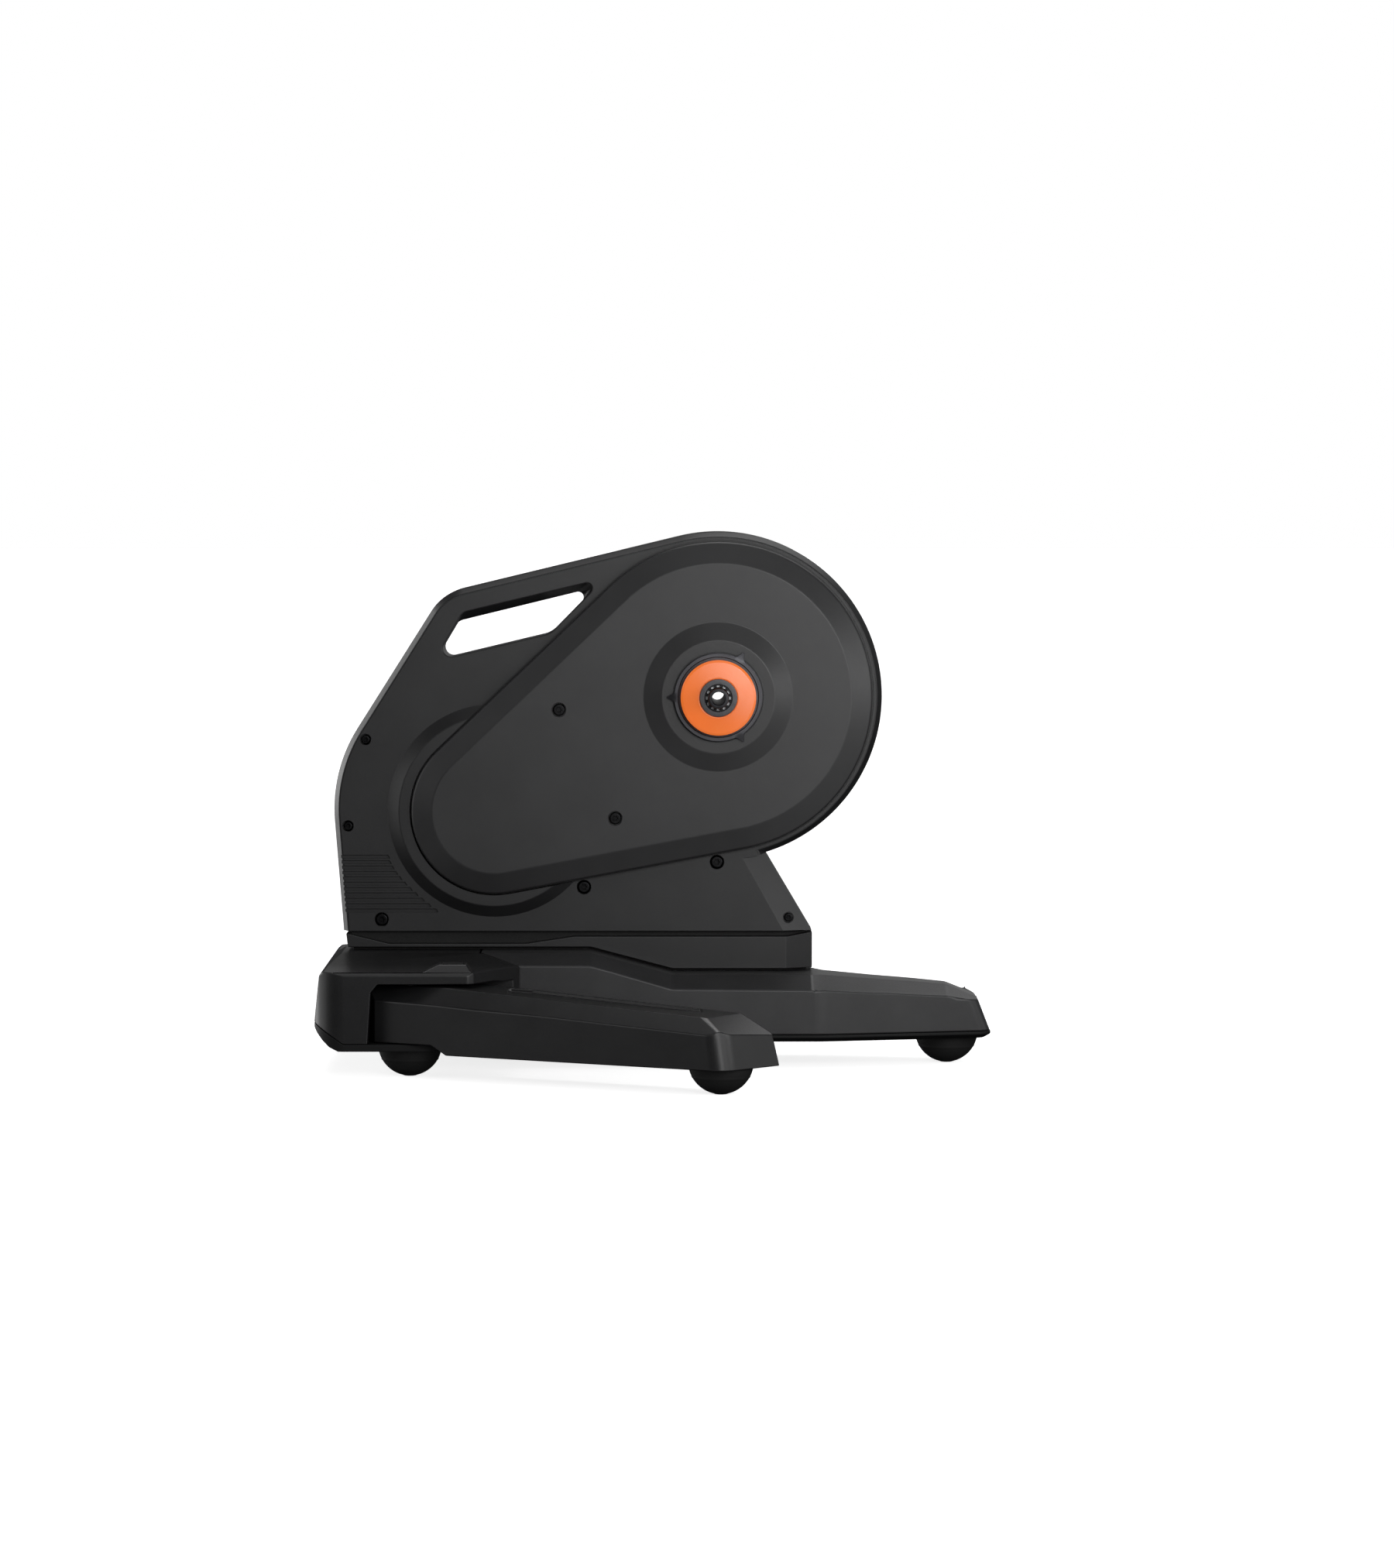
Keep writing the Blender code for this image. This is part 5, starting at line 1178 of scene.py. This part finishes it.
sprocket = loft("sprocket_plate", [tooth_ring(-46.0, 0.5), tooth_ring(-45.5), tooth_ring(-44.6),
                                   tooth_ring(-44.1, 0.5), bore_ring(-44.1), bore_ring(-46.0)],
                hollow=True)
smooth(sprocket, 28)
dress(sprocket, black_nickel, "freehub", "steel", "sprocket")

disc = turned("orange_disc_moulding", [
    (FREEHUB_R + GAP, -50.7), (FREEHUB_R + GAP, -52.9), (LOCKRING_R + 0.3, -52.9),
    (LOCKRING_R + 0.6, -53.45), (LOCKRING_R + 1.3, -53.55), (DISC_R - 2.4, -52.75),
    (DISC_R - 1.7, -52.6), (DISC_R - 1.3, -52.3), (DISC_R - 0.7, -52.2), (DISC_R - 0.15, -51.8),
    (DISC_R, -51.2), (DISC_R, -50.2), (DISC_R - 0.4, -49.9), (DISC_R - 1.5, -49.8),
    (FREEHUB_R + 2, -50.7)], AXLE, count=160)
smooth(disc, 30)
dress(disc, orange_polycarbonate_painted_glow, "freehub", "orange_plastic", "outer_guide_disc")


def notch_ring(y, outer_r=None):
    """The lockring's bore with twelve square notches for its tool, or a circle to go round it."""
    points = []
    for i in range(12):
        for part, bore_r in ((-0.27, 9.9), (-0.25, 11.7), (0.0, 11.75), (0.25, 11.7),
                             (0.27, 9.9), (0.4, 9.9), (0.5, 9.9), (0.6, 9.9)):
            turn = math.tau * (i + part) / 12
            radius = outer_r or bore_r
            points.append((radius * math.cos(turn), radius * math.sin(turn)))
    return at_hub(points, y)


lock = turned("lockring_plate", [
    (12.6, -53.9), (LOCKRING_R, -53.9), (LOCKRING_R, -55.5), (LOCKRING_R - 0.2, -55.85),
    (LOCKRING_R - 0.6, -56.0), (12.9, -56.0), (12.6, -55.7)], AXLE, count=160)
smooth(lock, 28)
dress(lock, black_nickel, "freehub", "steel", "lockring")
spline = loft("lockring_spline", [notch_ring(-53.9), notch_ring(-53.9, 12.5),
                                  notch_ring(-55.0, 12.5), notch_ring(-55.0)], hollow=True)
smooth(spline, 28)
dress(spline, black_oxide_steel, "freehub", "black_steel")


# Electronics
# A green circuit board inside, and on the far side a round power socket and a status light.

# Fibreglass laminate with a green solder mask: glossy, with the weave's 0.5 mm squares drawn at 1 mm.
solder_mask = textured("solder_mask", ("#16452a", "#1f5a38"), 3.0, 1.0, 0.02, (0.2, 0.35),
                       {"IOR": 1.55})
# Frosted polycarbonate lens of the status light.
frosted_lens = textured("frosted_lens", ("#c4ccce", "#d4dadc"), 1.5, 0.5, 0.02, (0.3, 0.45),
                        {"IOR": 1.585, "Transmission Weight": 0.35})
coat(solder_mask, "control_board")
coat(frosted_lens, "status_light")
coat(black_nylon, "power_socket")


# Floor and light
# A pale floor that runs on into a white room. Large soft patches of the room light the object from
# the sides, above, below and behind, and five soft boxes stand to the right of the camera.

FLOOR_HALF = 40000
floor = block("studio_floor", (-FLOOR_HALF, -FLOOR_HALF, -20.0), (FLOOR_HALF, FLOOR_HALF, -0.1))
floor_paint = textured("floor_paint", ("#f4f4f4", "#f6f6f6"), 400.0, 3.0, 0.0, (0.75, 0.8),
                       {"IOR": 1.45, "Emission Color": linear("#ffffff"), "Emission Strength": 0.8})
floor.data.materials.append(floor_paint)
floor.visible_diffuse = False
floor.visible_glossy = False

world = bpy.data.worlds.new("studio_room")
bpy.context.scene.world = world
world.use_nodes = True
sky = world.node_tree
sky.nodes.clear()
direction = add_node(sky, "ShaderNodeTexCoord").outputs["Generated"]


def soft_source(around, above, spread, strength):
    """A round patch of the room, brightest in its middle and gone spread degrees from there. It is
    around degrees from straight in front of the object, positive to the right, and above its level."""
    around, above = math.radians(around), math.radians(above)
    toward = (math.sin(around) * math.cos(above), -math.cos(around) * math.cos(above),
              math.sin(above))
    facing = add_node(sky, "ShaderNodeVectorMath", {"operation": "DOT_PRODUCT", 1: toward},
                      {0: direction})
    return add_node(sky, "ShaderNodeMapRange", {
        "interpolation_type": "SMOOTHSTEP", "From Min": math.cos(math.radians(spread)),
        "From Max": math.cos(math.radians(2)), "To Min": 0.0, "To Max": strength},
        {"Value": facing.outputs["Value"]}).outputs["Result"]


total = None
for around, above, spread, strength in (
        # A strip overhead and behind for the top edges, and a wide panel overhead for the slopes
        (180, 70, 20, 5.0), (0, 60, 34, 1.0),
        # High at the back right for the leg's nose and the beam, and a low wall behind for level tops
        (150, 45, 20, 2.0), (165, 12, 28, 0.5),
        # A wall on the right, and on the left a wall and a panel that the near leg's side reflects
        (90, 10, 26, 1.0), (-95, 5, 34, 1.5), (-60, 20, 24, 1.5),
        # At the back left, so that the far side isn't lost in black
        (-130, 8, 24, 4.0),
        # From below, as off a pale table: stronger on the right
        (40, -30, 34, 0.75), (-20, -35, 34, 0.5)):
    patch = soft_source(around, above, spread, strength)
    total = patch if total is None else add_node(
        sky, "ShaderNodeMath", {"operation": "ADD"}, {0: total, 1: patch}).outputs["Value"]
lit = add_node(sky, "ShaderNodeBackground", {}, {"Strength": total})
backdrop = add_node(sky, "ShaderNodeBackground", {"Color": linear("#ffffff"), "Strength": 1.0})
seen = add_node(sky, "ShaderNodeLightPath").outputs["Is Camera Ray"]
shown = add_node(sky, "ShaderNodeMixShader", {}, {
    0: seen, 1: lit.outputs["Background"], 2: backdrop.outputs["Background"]})
add_node(sky, "ShaderNodeOutputWorld", {}, {"Surface": shown.outputs["Shader"]})
bpy.context.scene.view_settings.view_transform = "Standard"

# One key and four fills at half its power: below it, on its left, and two round to the right
KEY_WATTS = 6.0
FILL_WATTS = KEY_WATTS / 2
AIMED_AT = Vector((0, 0, 0.25))
for place, watts in (((0.55, -2.0, 0.75), KEY_WATTS), ((0.55, -2.0, 0.3), FILL_WATTS),
                     ((0.15, -2.0, 0.7), FILL_WATTS), ((1.1, -1.5, 0.5), FILL_WATTS),
                     ((1.2, -0.8, 0.5), FILL_WATTS)):
    soft_box = bpy.data.lights.new("soft_box", "AREA")
    soft_box.size = 0.5
    soft_box.energy = watts
    lamp = bpy.data.objects.new("soft_box", soft_box)
    bpy.context.scene.collection.objects.link(lamp)
    lamp.location = place
    lamp.rotation_euler = (AIMED_AT - lamp.location).to_track_quat("-Z", "Y").to_euler()
    lamp.visible_camera = False


# Camera
# In front of the chain side, a little higher than the object's top, and tilted down about three
# degrees. It stands 5.2 m away with a long lens, so that the perspective is as weak as it should be.

CAMERA_PLACE = (0.0093, -5.2, 0.5372)
CAMERA_TILT = 0.0536
CAMERA_TURN = 0.0055

eye = bpy.data.objects.new("camera", bpy.data.cameras.new("camera"))
bpy.context.scene.collection.objects.link(eye)
eye.location = CAMERA_PLACE
eye.rotation_euler = (math.pi / 2 - CAMERA_TILT, 0.0, -CAMERA_TURN)
eye.data.lens = 129.0
eye.data.sensor_width = 36.0
eye.data.clip_end = 200.0
bpy.context.scene.camera = eye
